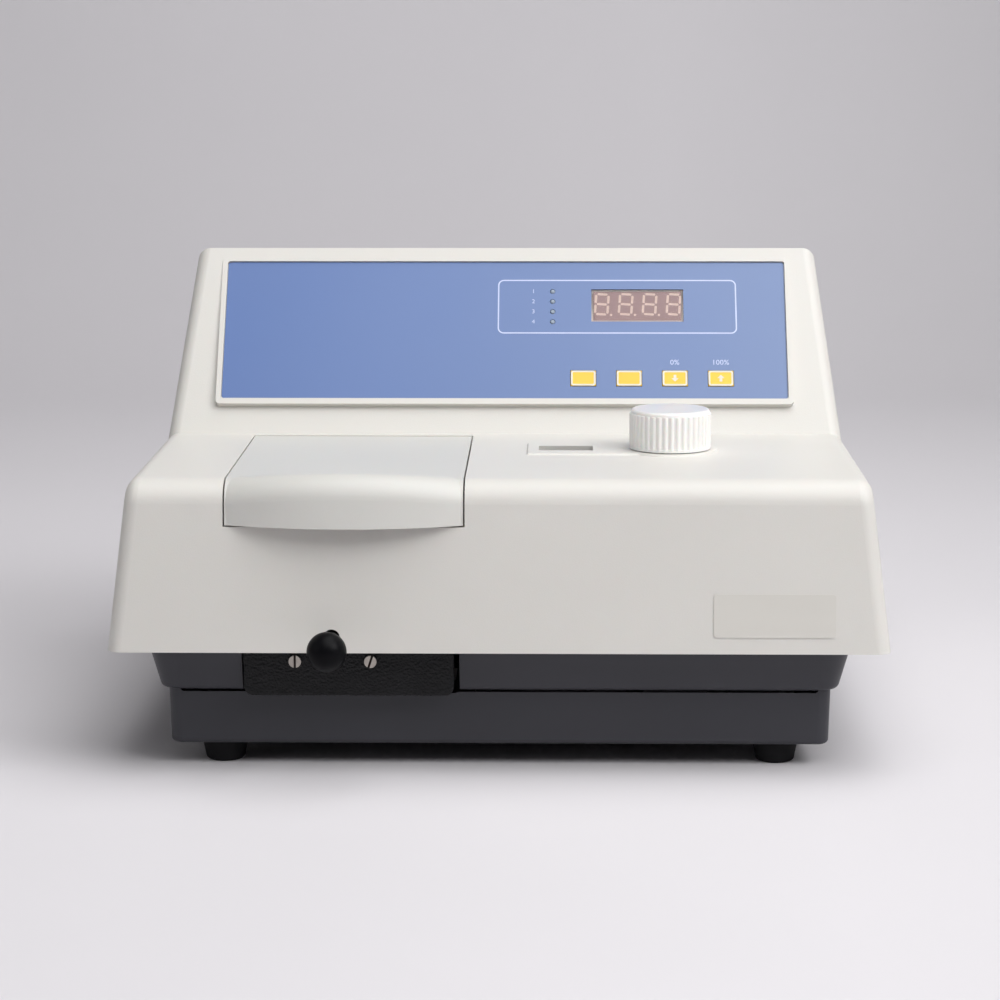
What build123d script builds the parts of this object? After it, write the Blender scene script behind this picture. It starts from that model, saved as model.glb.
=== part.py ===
# Bench-top UV-visible spectrophotometer: a moulded ivory cover with a raised control tower,
# a black base tray on rubber feet, a lidded sample chamber with a pull-rod cell changer,
# a ribbed wavelength knob with its drum counter, and the optics and electronics inside.
# Millimetres. +X is to the operator's right, +Y away from the operator, +Z up.
# The origin is on the table, under the middle of the whole object's box.
import math
import os

from build123d import *

os.makedirs("parts", exist_ok=True)

# Overall sizes of the cover
skirt_half_width = 185.5
skirt_z = 61.0
skirt_front_y = -146.0
rear_y = 180.8
deck_z = 142.0
tower_z = 234.2
cover_wall = 3.0
side_draft = 6.8
front_draft = 5.4
tower_foot_y = 17.0
tower_angle = 58.0
tower_top_fall = 6.0
deck_edge_radius = 12.0
tower_foot_radius = 14.0
tower_edge_radius = 10.0
rear_edge_radius = 12.0
side_edge_radius = 7.0

# Base tray
tray_half_width = 159.7
tray_front_y = -123.0
tray_rear_y = 163.0
tray_bottom_z = 11.0
step_z = 38.6
flange_low_out = 3.3
flange_high_out = 11.1
flange_top_z = 66.0
tray_wall = 3.0
tray_corner = 6.0
flange_corner_radius = 3.0

# Feet
foot_radius = 11.4
foot_sole_radius = 9.2
foot_inset_x = 25.7
foot_inset_y = 17.0

# Control panel
panel_angle = 56.0
panel_y = 25.3
panel_z = 159.4
panel_width = 297.0
panel_height = 81.3
panel_thick = 0.8
panel_gap = 0.3
bezel_side = 3.0
bezel_low = 3.6
bezel_high = 2.6
bezel_proud = 1.0
bezel_corner = 2.5
window_x = 70.2
window_s = 55.3
window_width = 48.8
window_height = 19.4
key_width = 13.2
key_height = 9.0
key_pitch = 24.07
key_first_x = 41.4
key_s = 11.9
key_count = 4
key_travel = 0.4
key_gap = 0.25
key_proud = 0.35
led_x = 25.2
led_first_s = 45.45
led_pitch = 6.07
led_count = 4
led_radius = 1.3

# Sample chamber lid
lid_x = -72.75
lid_width = 112.5
lid_slit = 0.8
lid_rear_y = 9.0
lid_low_z = 121.2
lid_wall = 2.6
lid_bulge = 10.4
lid_brow_back = 15.0
hinge_radius = 4.0
pin_radius = 1.5
pin_clearance = 0.05

# Sample chamber, changer and its rod
chamber_width = 100.0
chamber_front_y = -129.0
chamber_rear_y = -8.0
chamber_floor_z = 52.0
chamber_rim_z = 132.0
chamber_wall = 2.5
beam_y = -69.5
beam_z = 88.0
beam_radius = 6.0
rod_x = -78.6
rod_z = 68.0
rod_radius = 3.0
rod_clearance = 0.06
ball_radius = 9.3
ball_front_y = -184.0
cell_pitch = 15.0
cell_count = 4
cell_side = 12.5
cell_height = 45.0

# Front plate round the rod
plate_left_x = -121.7
plate_right_x = -21.2
plate_low_z = 37.3
plate_top_z = 76.0
plate_thick = 2.5
plate_corner = 4.5
screw_head_radius = 2.95
screw_left_x = -97.0
screw_right_x = -61.0
screw_z = 54.4
slot_width = 1.1

# Wavelength knob and counter
knob_x = 84.5
knob_y = -38.0
knob_radius = 20.4
knob_height = 19.8
knob_gap = 0.5
knob_ribs = 40
rib_depth = 0.7
shaft_radius = 3.0
shaft_clearance = 0.06
pad_rise = 0.8
pad_left_x = 12.5
pad_half_depth = 18.5
pad_round_radius = 24.5
counter_x = 32.1
counter_y = knob_y
counter_width = 27.2
counter_depth = 14.9
drum_radius = 10.0
drum_width = 6.0
drum_gap = 0.6
drum_count = 4
drum_shaft_radius = 1.5

running_gap = 0.3


def save(piece, name):
    """Labels a finished piece and writes it as its own node."""
    piece.part.label = name
    export_step(piece.part, f"parts/{name}.step")


def slope(angle):
    return math.tan(math.radians(angle))



def half_width(z):
    """Half of the cover's width at a height, between its drafted sides."""
    return skirt_half_width - (z - skirt_z) * slope(side_draft)


# Cover form: a side profile cut by two drafted side planes, then rounded along both sides
def cover_form(inset, low_z):
    """The cover's outside, or with an inset the hollow inside it, down to low_z."""
    front_low_y = skirt_front_y + (low_z - skirt_z) * slope(front_draft)
    front_top_y = skirt_front_y + (deck_z - skirt_z) * slope(front_draft)
    tower_top_y = tower_foot_y + (tower_z - deck_z) / slope(tower_angle)
    rear_top_z = tower_z - (rear_y - tower_top_y) * slope(tower_top_fall)
    corners = [
        (front_low_y, low_z),
        (front_top_y, deck_z),
        (tower_foot_y, deck_z),
        (tower_top_y, tower_z),
        (rear_y, rear_top_z),
        (rear_y, low_z),
    ]
    with BuildPart() as form:
        with BuildSketch(Plane.YZ) as profile:
            with BuildLine():
                Polyline(*corners, close=True)
            make_face()
            if inset:
                offset(amount=-inset, kind=Kind.INTERSECTION)
            tops = profile.vertices().filter_by(lambda v: v.Y > low_z + 40).sort_by(Axis.X)
            front, foot, tower_top, rear_top = tops
            fillet(front, deck_edge_radius - inset)
            fillet(foot, tower_foot_radius + inset)
            fillet(tower_top, tower_edge_radius - inset)
            fillet(rear_top, rear_edge_radius - inset)
        extrude(amount=skirt_half_width + 5, both=True)
        with BuildSketch(Plane.XZ.offset(-rear_y - 20)):
            taper = inset / math.cos(math.radians(side_draft))
            low = half_width(low_z - 1) - taper
            high = half_width(tower_z + 10) - taper
            with BuildLine():
                Polyline(
                    (-low, low_z - 1),
                    (low, low_z - 1),
                    (high, tower_z + 10),
                    (-high, tower_z + 10),
                    close=True,
                )
            make_face()
        extrude(amount=rear_y - skirt_front_y + 60, mode=Mode.INTERSECT)
        sides = form.faces().sort_by(Axis.X)
        rims = sides[0].edges() + sides[-1].edges()
        rims = rims.filter_by(lambda e: e.center().Z > low_z + inset + 0.5)
        fillet(rims, side_edge_radius - inset)
    return form.part


panel_normal = (0, -math.sin(math.radians(panel_angle)), math.cos(math.radians(panel_angle)))
panel_plane = Plane(origin=(0, panel_y, panel_z), x_dir=(1, 0, 0), z_dir=panel_normal)
panel_mid_s = panel_height / 2
window_centre = (window_x, window_s)
key_spots = [(key_first_x + i * key_pitch, key_s) for i in range(key_count)]
led_spots = [(led_x, led_first_s + i * led_pitch) for i in range(led_count)]

lid_left_x = lid_x - lid_width / 2
lid_right_x = lid_x + lid_width / 2
hinge_y = lid_rear_y - hinge_radius
hinge_z = deck_z - hinge_radius
deck_under_z = deck_z - cover_wall
boss_thick = 5.0
well_z = 132.0
well_front_y = -133.0
well_wall = 2.5
well_width = lid_width + 2 * lid_slit
well_rear_y = lid_rear_y + lid_slit
well_low_z = lid_low_z - lid_slit


def strip(outline, low_x, high_x):
    """A side-view outline in Y and Z drawn out from low_x to high_x."""
    with BuildPart() as solid:
        with BuildSketch(Plane.YZ.offset(low_x)):
            with BuildLine():
                Polyline(*outline, close=True)
            make_face()
        extrude(amount=high_x - low_x)
    return solid.part


def block(low, high):
    """A plain block between two opposite corners."""
    with BuildPart() as solid:
        with Locations(tuple((a + b) / 2 for a, b in zip(low, high))):
            Box(*(b - a for a, b in zip(low, high)))
    return solid.part


# Top cover: moulded shell with the lid well, bezel, pad, screw bosses and openings
shell_outside = cover_form(0, skirt_z)
shell_inside = cover_form(cover_wall, skirt_z - cover_wall - 5)
lid_space = [
    (-170, well_low_z),
    (well_front_y, well_low_z),
    (well_front_y, well_z),
    (well_rear_y, well_z),
    (well_rear_y, deck_z + 20),
    (-170, deck_z + 20),
]
well_outline = [
    (-170, well_low_z - well_wall),
    (well_front_y + well_wall, well_low_z - well_wall),
    (well_front_y + well_wall, well_z - well_wall),
    (well_rear_y + well_wall, well_z - well_wall),
    (well_rear_y + well_wall, deck_z + 20),
    (-170, deck_z + 20),
]
well_left_x = lid_x - well_width / 2
well_right_x = lid_x + well_width / 2
well_block = strip(well_outline, well_left_x - well_wall, well_right_x + well_wall) & shell_outside
lid_block = strip(lid_space, well_left_x, well_right_x)
chamber_mid_y = (chamber_front_y + chamber_rear_y) / 2
chamber_length = chamber_rear_y - chamber_front_y
cover_boss_spots = [(x, y) for x in (-148, 148) for y in (-108, 148)]
cover_boss_z = 76.0
boss_radius = 5.0
cover_screw_radius = 1.5
rear_open_half = 146.0
rear_open_low = 72.0
rear_open_high = 190.0
rear_boss_fall = 9.8
rear_roof_z = tower_z - rear_boss_fall
rear_screw_spots = [(x, z) for x in (-149.5, 0, 149.5) for z in (69.0, 193.0)]
rear_screw_radius = 1.2
board_n = -12.0
board_thick = 1.6
board_spots = [(-1, 8), (-1, 68), (126, 8), (126, 68)]

with BuildPart() as top_cover:
    add(shell_outside)
    with BuildSketch(panel_plane.offset(bezel_proud)):
        with Locations((0, (panel_height + bezel_high - bezel_low) / 2)):
            RectangleRounded(
                panel_width + 2 * bezel_side,
                panel_height + bezel_low + bezel_high,
                bezel_corner,
            )
    extrude(amount=-9)
    with BuildSketch(Plane.XY.offset(deck_z)):
        with Locations((knob_x, knob_y)):
            Circle(pad_round_radius)
        pad_length = knob_x - pad_left_x
        with Locations((pad_left_x + pad_length / 2, knob_y)):
            Rectangle(pad_length, 2 * pad_half_depth)
    extrude(amount=pad_rise, taper=45)
    add(shell_inside, mode=Mode.SUBTRACT)
    add(well_block)
    add(lid_block, mode=Mode.SUBTRACT)
    # the chamber mouth in the floor of the lid well
    with Locations((lid_x, chamber_mid_y, well_z)):
        Box(chamber_width + 0.4, chamber_length + 0.4, 12, mode=Mode.SUBTRACT)
    # panel recess with key, window and lamp openings
    with BuildSketch(panel_plane.offset(-panel_thick)):
        with Locations((0, panel_mid_s)):
            RectangleRounded(panel_width + 2 * panel_gap, panel_height + 2 * panel_gap, 1.5)
    extrude(amount=6, mode=Mode.SUBTRACT)
    with BuildSketch(panel_plane.offset(6)):
        with Locations(*key_spots):
            Rectangle(key_width + 2 * key_gap, key_height + 2 * key_gap)
        with Locations(window_centre):
            Rectangle(window_width - 2, window_height - 2)
        with Locations(*led_spots):
            Circle(led_radius + 0.15)
    extrude(amount=-16, mode=Mode.SUBTRACT)
    # counter window and knob bushing hole
    with Locations((counter_x, counter_y, deck_z)):
        Box(counter_width, counter_depth, 12, mode=Mode.SUBTRACT)
    with BuildSketch(Plane.XY.offset(deck_z + 5)):
        with Locations((knob_x, knob_y)):
            Circle(shaft_radius + 3)
    extrude(amount=-12, mode=Mode.SUBTRACT)
    # rod notch in the front skirt, arched at the top
    with BuildSketch(Plane.XZ.offset(160)):
        with Locations((rod_x, rod_z)):
            Circle(4.2)
        with Locations((rod_x, rod_z - 6)):
            Rectangle(8.4, 12)
    extrude(amount=-24, mode=Mode.SUBTRACT)
    # rear service opening
    with BuildSketch(Plane.XZ.offset(-rear_y - 5)):
        with Locations((0, (rear_open_low + rear_open_high) / 2)):
            RectangleRounded(2 * rear_open_half, rear_open_high - rear_open_low, 4)
    extrude(amount=12, mode=Mode.SUBTRACT)
    with BuildSketch(Plane.XZ.offset(-rear_y - 1)):
        with Locations(*rear_screw_spots):
            Circle(rear_screw_radius)
    extrude(amount=cover_wall + 2, mode=Mode.SUBTRACT)
    # bosses that stand on the tray's own bosses and take the screws from below
    with BuildSketch(Plane.XY.offset(cover_boss_z)):
        with Locations(*cover_boss_spots[::2]):
            Circle(boss_radius)
    extrude(amount=deck_under_z + 0.5 - cover_boss_z)
    with BuildSketch(Plane.XY.offset(cover_boss_z)):
        with Locations(*cover_boss_spots[1::2]):
            Circle(boss_radius)
    extrude(amount=rear_roof_z - cover_boss_z)
    with BuildSketch(Plane.XY.offset(cover_boss_z)):
        with Locations(*cover_boss_spots):
            Circle(cover_screw_radius)
    extrude(amount=12, mode=Mode.SUBTRACT)
    # pillars for the display board, and the hinge pin holes
    with BuildSketch(panel_plane.offset(-1.5)):
        with Locations(*board_spots):
            Circle(3)
    extrude(amount=board_n + 1.5)
    with BuildSketch(Plane.YZ.offset(well_left_x - well_wall - 1)):
        with Locations((hinge_y, hinge_z)):
            Circle(pin_radius)
    extrude(amount=well_width + 2 * well_wall + 2, mode=Mode.SUBTRACT)
save(top_cover, "top_cover")

# Lid: top skin, side flanges, hinge barrels and a bowed brow that laps over the front
bulge_rise = 4.0
sagitta = math.hypot(lid_bulge, bulge_rise)
brow_radius = ((lid_width / 2) ** 2 + sagitta**2) / (2 * sagitta)
brow_tilt = math.degrees(math.atan2(bulge_rise, lid_bulge))


def brow(inset):
    """The bowed front of the lid: the cover's front profile swung about a tilted axis."""
    top_y = skirt_front_y + (deck_z - skirt_z) * slope(front_draft)
    low_z = deck_z - 34
    low_y = skirt_front_y + (low_z - skirt_z) * slope(front_draft)
    outline = [
        (low_y, low_z),
        (top_y, deck_z),
        (top_y + lid_brow_back, deck_z - 0.4),
        (top_y + lid_brow_back + 16, deck_z - bulge_rise - 1.6),
        (top_y + lid_brow_back + 16, low_z),
    ]
    aim = Vector(0, -lid_bulge, bulge_rise).normalized()
    middle = Vector(lid_x, top_y, deck_z) + aim * sagitta
    swing = Axis(middle - aim * brow_radius, Vector(0, bulge_rise, lid_bulge))
    with BuildPart() as front:
        with BuildSketch(Plane.YZ.offset(lid_x)) as side:
            with BuildLine():
                Polyline(*[(y - lid_bulge, z + bulge_rise) for y, z in outline], close=True)
            make_face()
            if inset:
                offset(amount=-inset, kind=Kind.INTERSECTION)
            front_top = side.vertices().filter_by(lambda v: v.Y > deck_z - 10).sort_by(Axis.X)[0]
            fillet(front_top, deck_edge_radius - inset)
        revolve(axis=swing, revolution_arc=30)
        revolve(side.sketch, axis=swing, revolution_arc=-30)
    return front.part


lid_outline = [
    (-170, lid_low_z),
    (well_front_y - lid_slit, lid_low_z),
    (well_front_y - lid_slit, well_z + 1),
    (lid_rear_y - 2, well_z + 1),
    (lid_rear_y, well_z + 3),
    (lid_rear_y, deck_z + 20),
    (-170, deck_z + 20),
]
barrel_length = 16.0
lid_hollow_rear_y = lid_rear_y - lid_wall
hollow_outline = [
    (-170, lid_low_z - 5),
    (lid_hollow_rear_y, lid_low_z - 5),
    (lid_hollow_rear_y, deck_z + 20),
    (-170, deck_z + 20),
]
lid_under = cover_form(lid_wall, skirt_z) + brow(lid_wall)
lid_hollow = strip(hollow_outline, lid_left_x + lid_wall, lid_right_x - lid_wall) & lid_under
lid_envelope = strip(lid_outline, lid_left_x, lid_right_x)
lid_form = (shell_outside + brow(0)) & lid_envelope

with BuildPart() as lid:
    add(lid_form)
    add(lid_hollow, mode=Mode.SUBTRACT)
    rear_edge = lid.edges().filter_by(Axis.X).filter_by(
        lambda e: abs(e.center().Y - lid_rear_y) < 0.1 and e.center().Z > deck_z - 1
    )
    fillet(rear_edge, hinge_radius - 1.5)
    for x in (lid_left_x, lid_right_x - barrel_length):
        with BuildSketch(Plane.YZ.offset(x)):
            with Locations((hinge_y, hinge_z)):
                Circle(hinge_radius)
        extrude(amount=barrel_length)
    for x in (lid_left_x - 1, lid_right_x - barrel_length - 1):
        with BuildSketch(Plane.YZ.offset(x)):
            with Locations((hinge_y, hinge_z)):
                Circle(pin_radius + pin_clearance)
        extrude(amount=barrel_length + 2, mode=Mode.SUBTRACT)
save(lid, "lid")

with BuildPart() as hinge_pins:
    for x in (well_left_x - well_wall, well_right_x + well_wall - 18):
        with BuildSketch(Plane.YZ.offset(x)):
            with Locations((hinge_y, hinge_z)):
                Circle(pin_radius)
        extrude(amount=18)
save(hinge_pins, "hinge_pins")

# Base tray: lower base, sloping flange, front notch, bosses, chamber posts and floor vents
base_mid_y = (tray_front_y + tray_rear_y) / 2
base_depth = tray_rear_y - tray_front_y
foot_spots = [
    (sx * (tray_half_width - foot_inset_x), y)
    for sx in (-1, 1)
    for y in (tray_front_y + foot_inset_y, tray_rear_y - foot_inset_y)
]
tray_floor_z = tray_bottom_z + tray_wall
board_z = tray_floor_z + 8
power_board_spot = (-28, 102)
power_board_size = (82, 92)
main_board_spot = (86, 92)
main_board_size = (110, 104)
chamber_post_spots = [(lid_x + dx, y) for dx in (-40, 40) for y in (-98, -20)]


def tray_ring(z, outset, corner):
    """A rounded tray outline at a height."""
    with BuildSketch(Plane.XY.offset(z)) as ring:
        with Locations((0, base_mid_y)):
            RectangleRounded(
                2 * (tray_half_width + outset), base_depth + 2 * outset, corner + max(outset, 0)
            )
    return ring.sketch


with BuildPart() as base_tray:
    loft([tray_ring(tray_bottom_z, -0.8, tray_corner), tray_ring(step_z + 4, 0, tray_corner)])
    with BuildPart(mode=Mode.PRIVATE) as flange:
        low_ring = tray_ring(step_z, flange_low_out, tray_corner)
        loft([low_ring, tray_ring(flange_top_z, flange_high_out, tray_corner)])
        fillet(flange.faces().sort_by(Axis.Z)[0].edges(), flange_corner_radius)
    add(flange)
    low_edges = base_tray.faces().sort_by(Axis.Z)[0].edges()
    fillet(low_edges, 2.2)
    with BuildPart(mode=Mode.PRIVATE) as tray_hollow:
        loft([
            tray_ring(tray_floor_z, -tray_wall, tray_corner),
            tray_ring(flange_top_z + 1, flange_high_out - tray_wall - 4.5, tray_corner),
        ])
    add(tray_hollow, mode=Mode.SUBTRACT)
    # front notch for the rod's plate, with rounded lower corners
    notch_low_x = plate_left_x - 1.1
    notch_high_x = plate_right_x + 2.5
    with BuildSketch(Plane.XZ.offset(-tray_front_y + 20)):
        with Locations(((notch_low_x + notch_high_x) / 2, (plate_low_z - 1 + flange_top_z + 10) / 2)):
            RectangleRounded(notch_high_x - notch_low_x, flange_top_z + 11 - plate_low_z, 3)
    extrude(amount=-26, mode=Mode.SUBTRACT)
    # bosses under the cover's bosses, and posts under the sample chamber
    with BuildSketch(Plane.XY.offset(tray_floor_z)):
        with Locations(*cover_boss_spots):
            Circle(boss_radius)
    extrude(amount=cover_boss_z - tray_floor_z)
    with BuildSketch(Plane.XY.offset(tray_bottom_z - 1)):
        with Locations(*cover_boss_spots):
            Circle(cover_screw_radius + 0.2)
    extrude(amount=cover_boss_z, mode=Mode.SUBTRACT)
    with BuildSketch(Plane.XY.offset(tray_bottom_z - 1)):
        with Locations(*cover_boss_spots):
            Circle(3.2)
    extrude(amount=9, mode=Mode.SUBTRACT)
    with BuildSketch(Plane.XY.offset(tray_floor_z)):
        with Locations(*chamber_post_spots):
            Circle(4)
    extrude(amount=chamber_floor_z - tray_floor_z)
    # standoffs for the circuit boards
    with BuildSketch(Plane.XY.offset(tray_floor_z)):
        for spot, size in ((power_board_spot, power_board_size), (main_board_spot, main_board_size)):
            with Locations(spot):
                with GridLocations(size[0] - 10, size[1] - 10, 2, 2):
                    Circle(3)
    extrude(amount=board_z - tray_floor_z)
    # floor vents and the holes for the foot screws
    with BuildSketch(Plane.XY.offset(tray_bottom_z - 1)):
        with Locations((0, 20), (0, 95)):
            with GridLocations(9, 0, 9, 1):
                SlotOverall(44, 4, rotation=90)
        with Locations(*foot_spots):
            Circle(2.1)
    extrude(amount=tray_wall + 2, mode=Mode.SUBTRACT)
save(base_tray, "base_tray")

# Feet: turned rubber buttons with a screw up through each
with BuildPart() as feet:
    with Locations(*[(x, y, 0) for x, y in foot_spots]):
        Cone(foot_sole_radius, foot_radius, tray_bottom_z, align=(Align.CENTER, Align.CENTER, Align.MIN))
    fillet(feet.edges().group_by(Axis.Z)[0], 2)
    with BuildSketch(Plane.XY):
        with Locations(*foot_spots):
            Circle(4.5)
    extrude(amount=6, mode=Mode.SUBTRACT)
    with BuildSketch(Plane.XY):
        with Locations(*foot_spots):
            Circle(2.1)
    extrude(amount=tray_bottom_z, mode=Mode.SUBTRACT)
save(feet, "feet")


def screw(base, out, head_radius, head_height, shank_radius, shank_length, slot_angle=0):
    """A pan-headed screw whose head sits at base and points along out."""
    plane = Plane(origin=base, z_dir=out)
    with BuildPart() as fastener:
        with BuildSketch(plane):
            Circle(head_radius)
        extrude(amount=head_height)
        with BuildSketch(plane):
            Circle(shank_radius)
        extrude(amount=-shank_length)
        with BuildSketch(plane.offset(head_height)):
            Rectangle(slot_width, 2 * head_radius + 1, rotation=slot_angle)
        extrude(amount=-head_height * 0.55, mode=Mode.SUBTRACT)
    return fastener.part


with BuildPart() as base_screws:
    for x, y in foot_spots:
        add(screw((x, y, 6), (0, 0, -1), 3.8, 2.4, 2.0, 11))
    for x, y in cover_boss_spots:
        add(screw((x, y, tray_bottom_z + 8), (0, 0, -1), 2.9, 2.2, cover_screw_radius, 67))
save(base_screws, "base_screws")

# Rod plate in the flange notch, with its two screws
plate_front_y = well_front_y - 0.5
plate_back_y = plate_front_y + plate_thick
plate_mid_x = (plate_left_x + plate_right_x) / 2
with BuildPart() as slide_plate:
    with BuildSketch(Plane.XZ.offset(-plate_front_y)):
        with Locations((plate_mid_x, (plate_low_z + plate_top_z) / 2)):
            RectangleRounded(plate_right_x - plate_left_x, plate_top_z - plate_low_z, plate_corner)
        with Locations((rod_x, rod_z)):
            Circle(rod_radius + 1.2, mode=Mode.SUBTRACT)
        with Locations((screw_left_x, screw_z), (screw_right_x, screw_z)):
            Circle(1.7, mode=Mode.SUBTRACT)
    extrude(amount=-plate_thick)
    fillet(slide_plate.faces().sort_by(Axis.Y)[0].outer_wire().edges(), 1.2)
save(slide_plate, "slide_plate")

with BuildPart() as plate_screws:
    for x, angle in ((screw_left_x, 90), (screw_right_x, 72)):
        add(screw((x, plate_front_y, screw_z), (0, -1, 0), screw_head_radius, 1.9, 1.5, 6.8, angle))
save(plate_screws, "plate_screws")

# Sample chamber: open-topped box with beam ports, screw bosses and rail holes
rail_dx = 17.0
rail_radius = 2.5
rail_z = 66.0
rail_xs = (lid_x - rail_dx, lid_x + rail_dx)
with BuildPart() as sample_chamber:
    with Locations((lid_x, chamber_mid_y, chamber_floor_z)):
        Box(
            chamber_width,
            chamber_length,
            chamber_rim_z - chamber_floor_z,
            align=(Align.CENTER, Align.CENTER, Align.MIN),
        )
    with Locations((lid_x, chamber_mid_y, chamber_floor_z + chamber_wall)):
        Box(
            chamber_width - 2 * chamber_wall,
            chamber_length - 2 * chamber_wall,
            chamber_rim_z,
            align=(Align.CENTER, Align.CENTER, Align.MIN),
            mode=Mode.SUBTRACT,
        )
    with BuildSketch(Plane.YZ.offset(lid_x - chamber_width / 2 - 1)):
        with Locations((beam_y, beam_z)):
            Circle(beam_radius)
    extrude(amount=chamber_width + 2, mode=Mode.SUBTRACT)
    with BuildSketch(Plane.XZ.offset(-plate_back_y)):
        with Locations((screw_left_x, screw_z), (screw_right_x, screw_z)):
            Circle(4)
    extrude(amount=-(chamber_front_y - plate_back_y) - 0.5)
    with BuildSketch(Plane.XZ.offset(-plate_back_y + 1)):
        with Locations((screw_left_x, screw_z), (screw_right_x, screw_z)):
            Circle(1.5)
    extrude(amount=-6.5, mode=Mode.SUBTRACT)
    with BuildSketch(Plane.XZ.offset(-chamber_front_y + 1)):
        with Locations((rod_x, rod_z)):
            Circle(rod_radius + 2)
    extrude(amount=-chamber_wall - 2, mode=Mode.SUBTRACT)
    with BuildSketch(Plane.XZ.offset(-chamber_front_y + 1)):
        with Locations(*[(x, rail_z) for x in rail_xs]):
            Circle(rail_radius)
    extrude(amount=-chamber_length - 2, mode=Mode.SUBTRACT)
save(sample_chamber, "sample_chamber")

# Bronze bushing for the rod and the two rails the cell holder slides on
with BuildPart() as changer_guides:
    with BuildSketch(Plane.XZ.offset(-chamber_front_y)):
        with Locations((rod_x, rod_z)):
            Circle(rod_radius + 2)
    extrude(amount=-chamber_wall - 2.5)
    with BuildSketch(Plane.XZ.offset(-chamber_front_y)):
        with Locations((rod_x, rod_z)):
            Circle(rod_radius + 4)
    extrude(amount=1.8)
    with BuildSketch(Plane.XZ.offset(-chamber_front_y + 3)):
        with Locations((rod_x, rod_z)):
            Circle(rod_radius + rod_clearance)
    extrude(amount=-10, mode=Mode.SUBTRACT)
    with BuildSketch(Plane.XZ.offset(-chamber_front_y)):
        with Locations(*[(x, rail_z) for x in rail_xs]):
            Circle(rail_radius)
    extrude(amount=-chamber_length)
save(changer_guides, "changer_guides")

# Foam light seal round the chamber mouth
with BuildPart() as chamber_seal:
    with BuildSketch(Plane.XY.offset(well_z)):
        with Locations((lid_x, chamber_mid_y - 0.6)):
            Rectangle(chamber_width + 7, chamber_length + 4)
        with Locations((lid_x, chamber_mid_y)):
            Rectangle(chamber_width + 0.4, chamber_length + 0.4, mode=Mode.SUBTRACT)
    extrude(amount=0.6)
save(chamber_seal, "chamber_seal")

# Changer: pull rod, ball knob, four-cell holder and its cell springs
holder_mid_y = beam_y + (cell_count - 1) * cell_pitch / 2
holder_length = cell_count * cell_pitch
holder_front_y = holder_mid_y - holder_length / 2
holder_low_z = 61.0
cell_floor_z = beam_z - 15
holder_top_z = 108.0
cell_spots = [(lid_x, beam_y + i * cell_pitch) for i in range(cell_count)]
holder_align = (Align.CENTER, Align.CENTER, Align.MIN)
with BuildPart() as cell_holder:
    with Locations((lid_x, holder_mid_y, holder_low_z)):
        Box(2 * rail_dx + 12, holder_length, cell_floor_z - holder_low_z, align=holder_align)
        Box(cell_side + 5, holder_length, holder_top_z - holder_low_z, align=holder_align)
    with Locations(*[(x, y, cell_floor_z) for x, y in cell_spots]):
        Box(cell_side, cell_side, 60, align=holder_align, mode=Mode.SUBTRACT)
    with BuildSketch(Plane.YZ.offset(lid_x - 20)):
        with Locations(*[(y, beam_z + 4) for _, y in cell_spots]):
            SlotOverall(24, 8, rotation=90)
    extrude(amount=40, mode=Mode.SUBTRACT)
    with BuildSketch(Plane.XZ.offset(-holder_front_y + 1)):
        with Locations(*[(x, rail_z) for x in rail_xs]):
            Circle(rail_radius + rod_clearance)
    extrude(amount=-holder_length - 2, mode=Mode.SUBTRACT)
save(cell_holder, "cell_holder")

ball_y = ball_front_y + ball_radius
with BuildPart() as pull_rod:
    with BuildSketch(Plane.XZ.offset(-ball_y)):
        with Locations((rod_x, rod_z)):
            Circle(rod_radius)
    extrude(amount=-(holder_front_y - ball_y))
save(pull_rod, "pull_rod")

with BuildPart() as ball_knob:
    with Locations((rod_x, ball_y, rod_z)):
        Sphere(ball_radius)
    with BuildSketch(Plane.XZ.offset(-ball_y - 2)):
        with Locations((rod_x, rod_z)):
            Circle(5)
    extrude(amount=-(ball_radius + 0.5) - 2)
    with BuildSketch(Plane.XZ.offset(-ball_y)):
        with Locations((rod_x, rod_z)):
            Circle(rod_radius)
    extrude(amount=-ball_radius - 5, mode=Mode.SUBTRACT)
save(ball_knob, "ball_knob")

with BuildPart() as cell_springs:
    for x, y in cell_spots:
        spring_x = x + cell_side / 2 - 0.5
        with Locations((spring_x, y, beam_z + 17)):
            Box(1.0, 5, 4, align=holder_align)
        with Locations((x + cell_side / 2 + 1.25, y, holder_top_z)):
            Box(3.5 + 1, 5, 1, align=holder_align)
save(cell_springs, "cell_springs")

# Control panel overlay, display window, keys and indicator lamps, all on the sloping panel plane
with BuildPart() as control_panel:
    with BuildSketch(panel_plane.offset(-panel_thick)):
        with Locations((0, panel_mid_s)):
            RectangleRounded(panel_width, panel_height, 1.5)
        with Locations(*key_spots):
            Rectangle(key_width + 2 * key_gap, key_height + 2 * key_gap, mode=Mode.SUBTRACT)
        with Locations(window_centre):
            Rectangle(window_width, window_height, mode=Mode.SUBTRACT)
        with Locations(*led_spots):
            Circle(led_radius + 0.15, mode=Mode.SUBTRACT)
    extrude(amount=panel_thick)
save(control_panel, "control_panel")

with BuildPart() as display_window:
    with BuildSketch(panel_plane.offset(-panel_thick)):
        with Locations(window_centre):
            Rectangle(window_width, window_height)
    extrude(amount=panel_thick)
save(display_window, "display_window")

switch_height = 3.4
with BuildPart() as display_board:
    with BuildSketch(panel_plane.offset(board_n)):
        with Locations((62.5, 38)):
            Rectangle(135, 70)
    extrude(amount=-board_thick)
    with BuildSketch(panel_plane.offset(board_n)):
        with Locations(*key_spots):
            Rectangle(6.2, 6.2)
    extrude(amount=switch_height - 0.6)
    with BuildSketch(panel_plane.offset(board_n)):
        with Locations(*key_spots):
            Circle(1.7)
    extrude(amount=switch_height)
save(display_board, "display_board")

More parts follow.
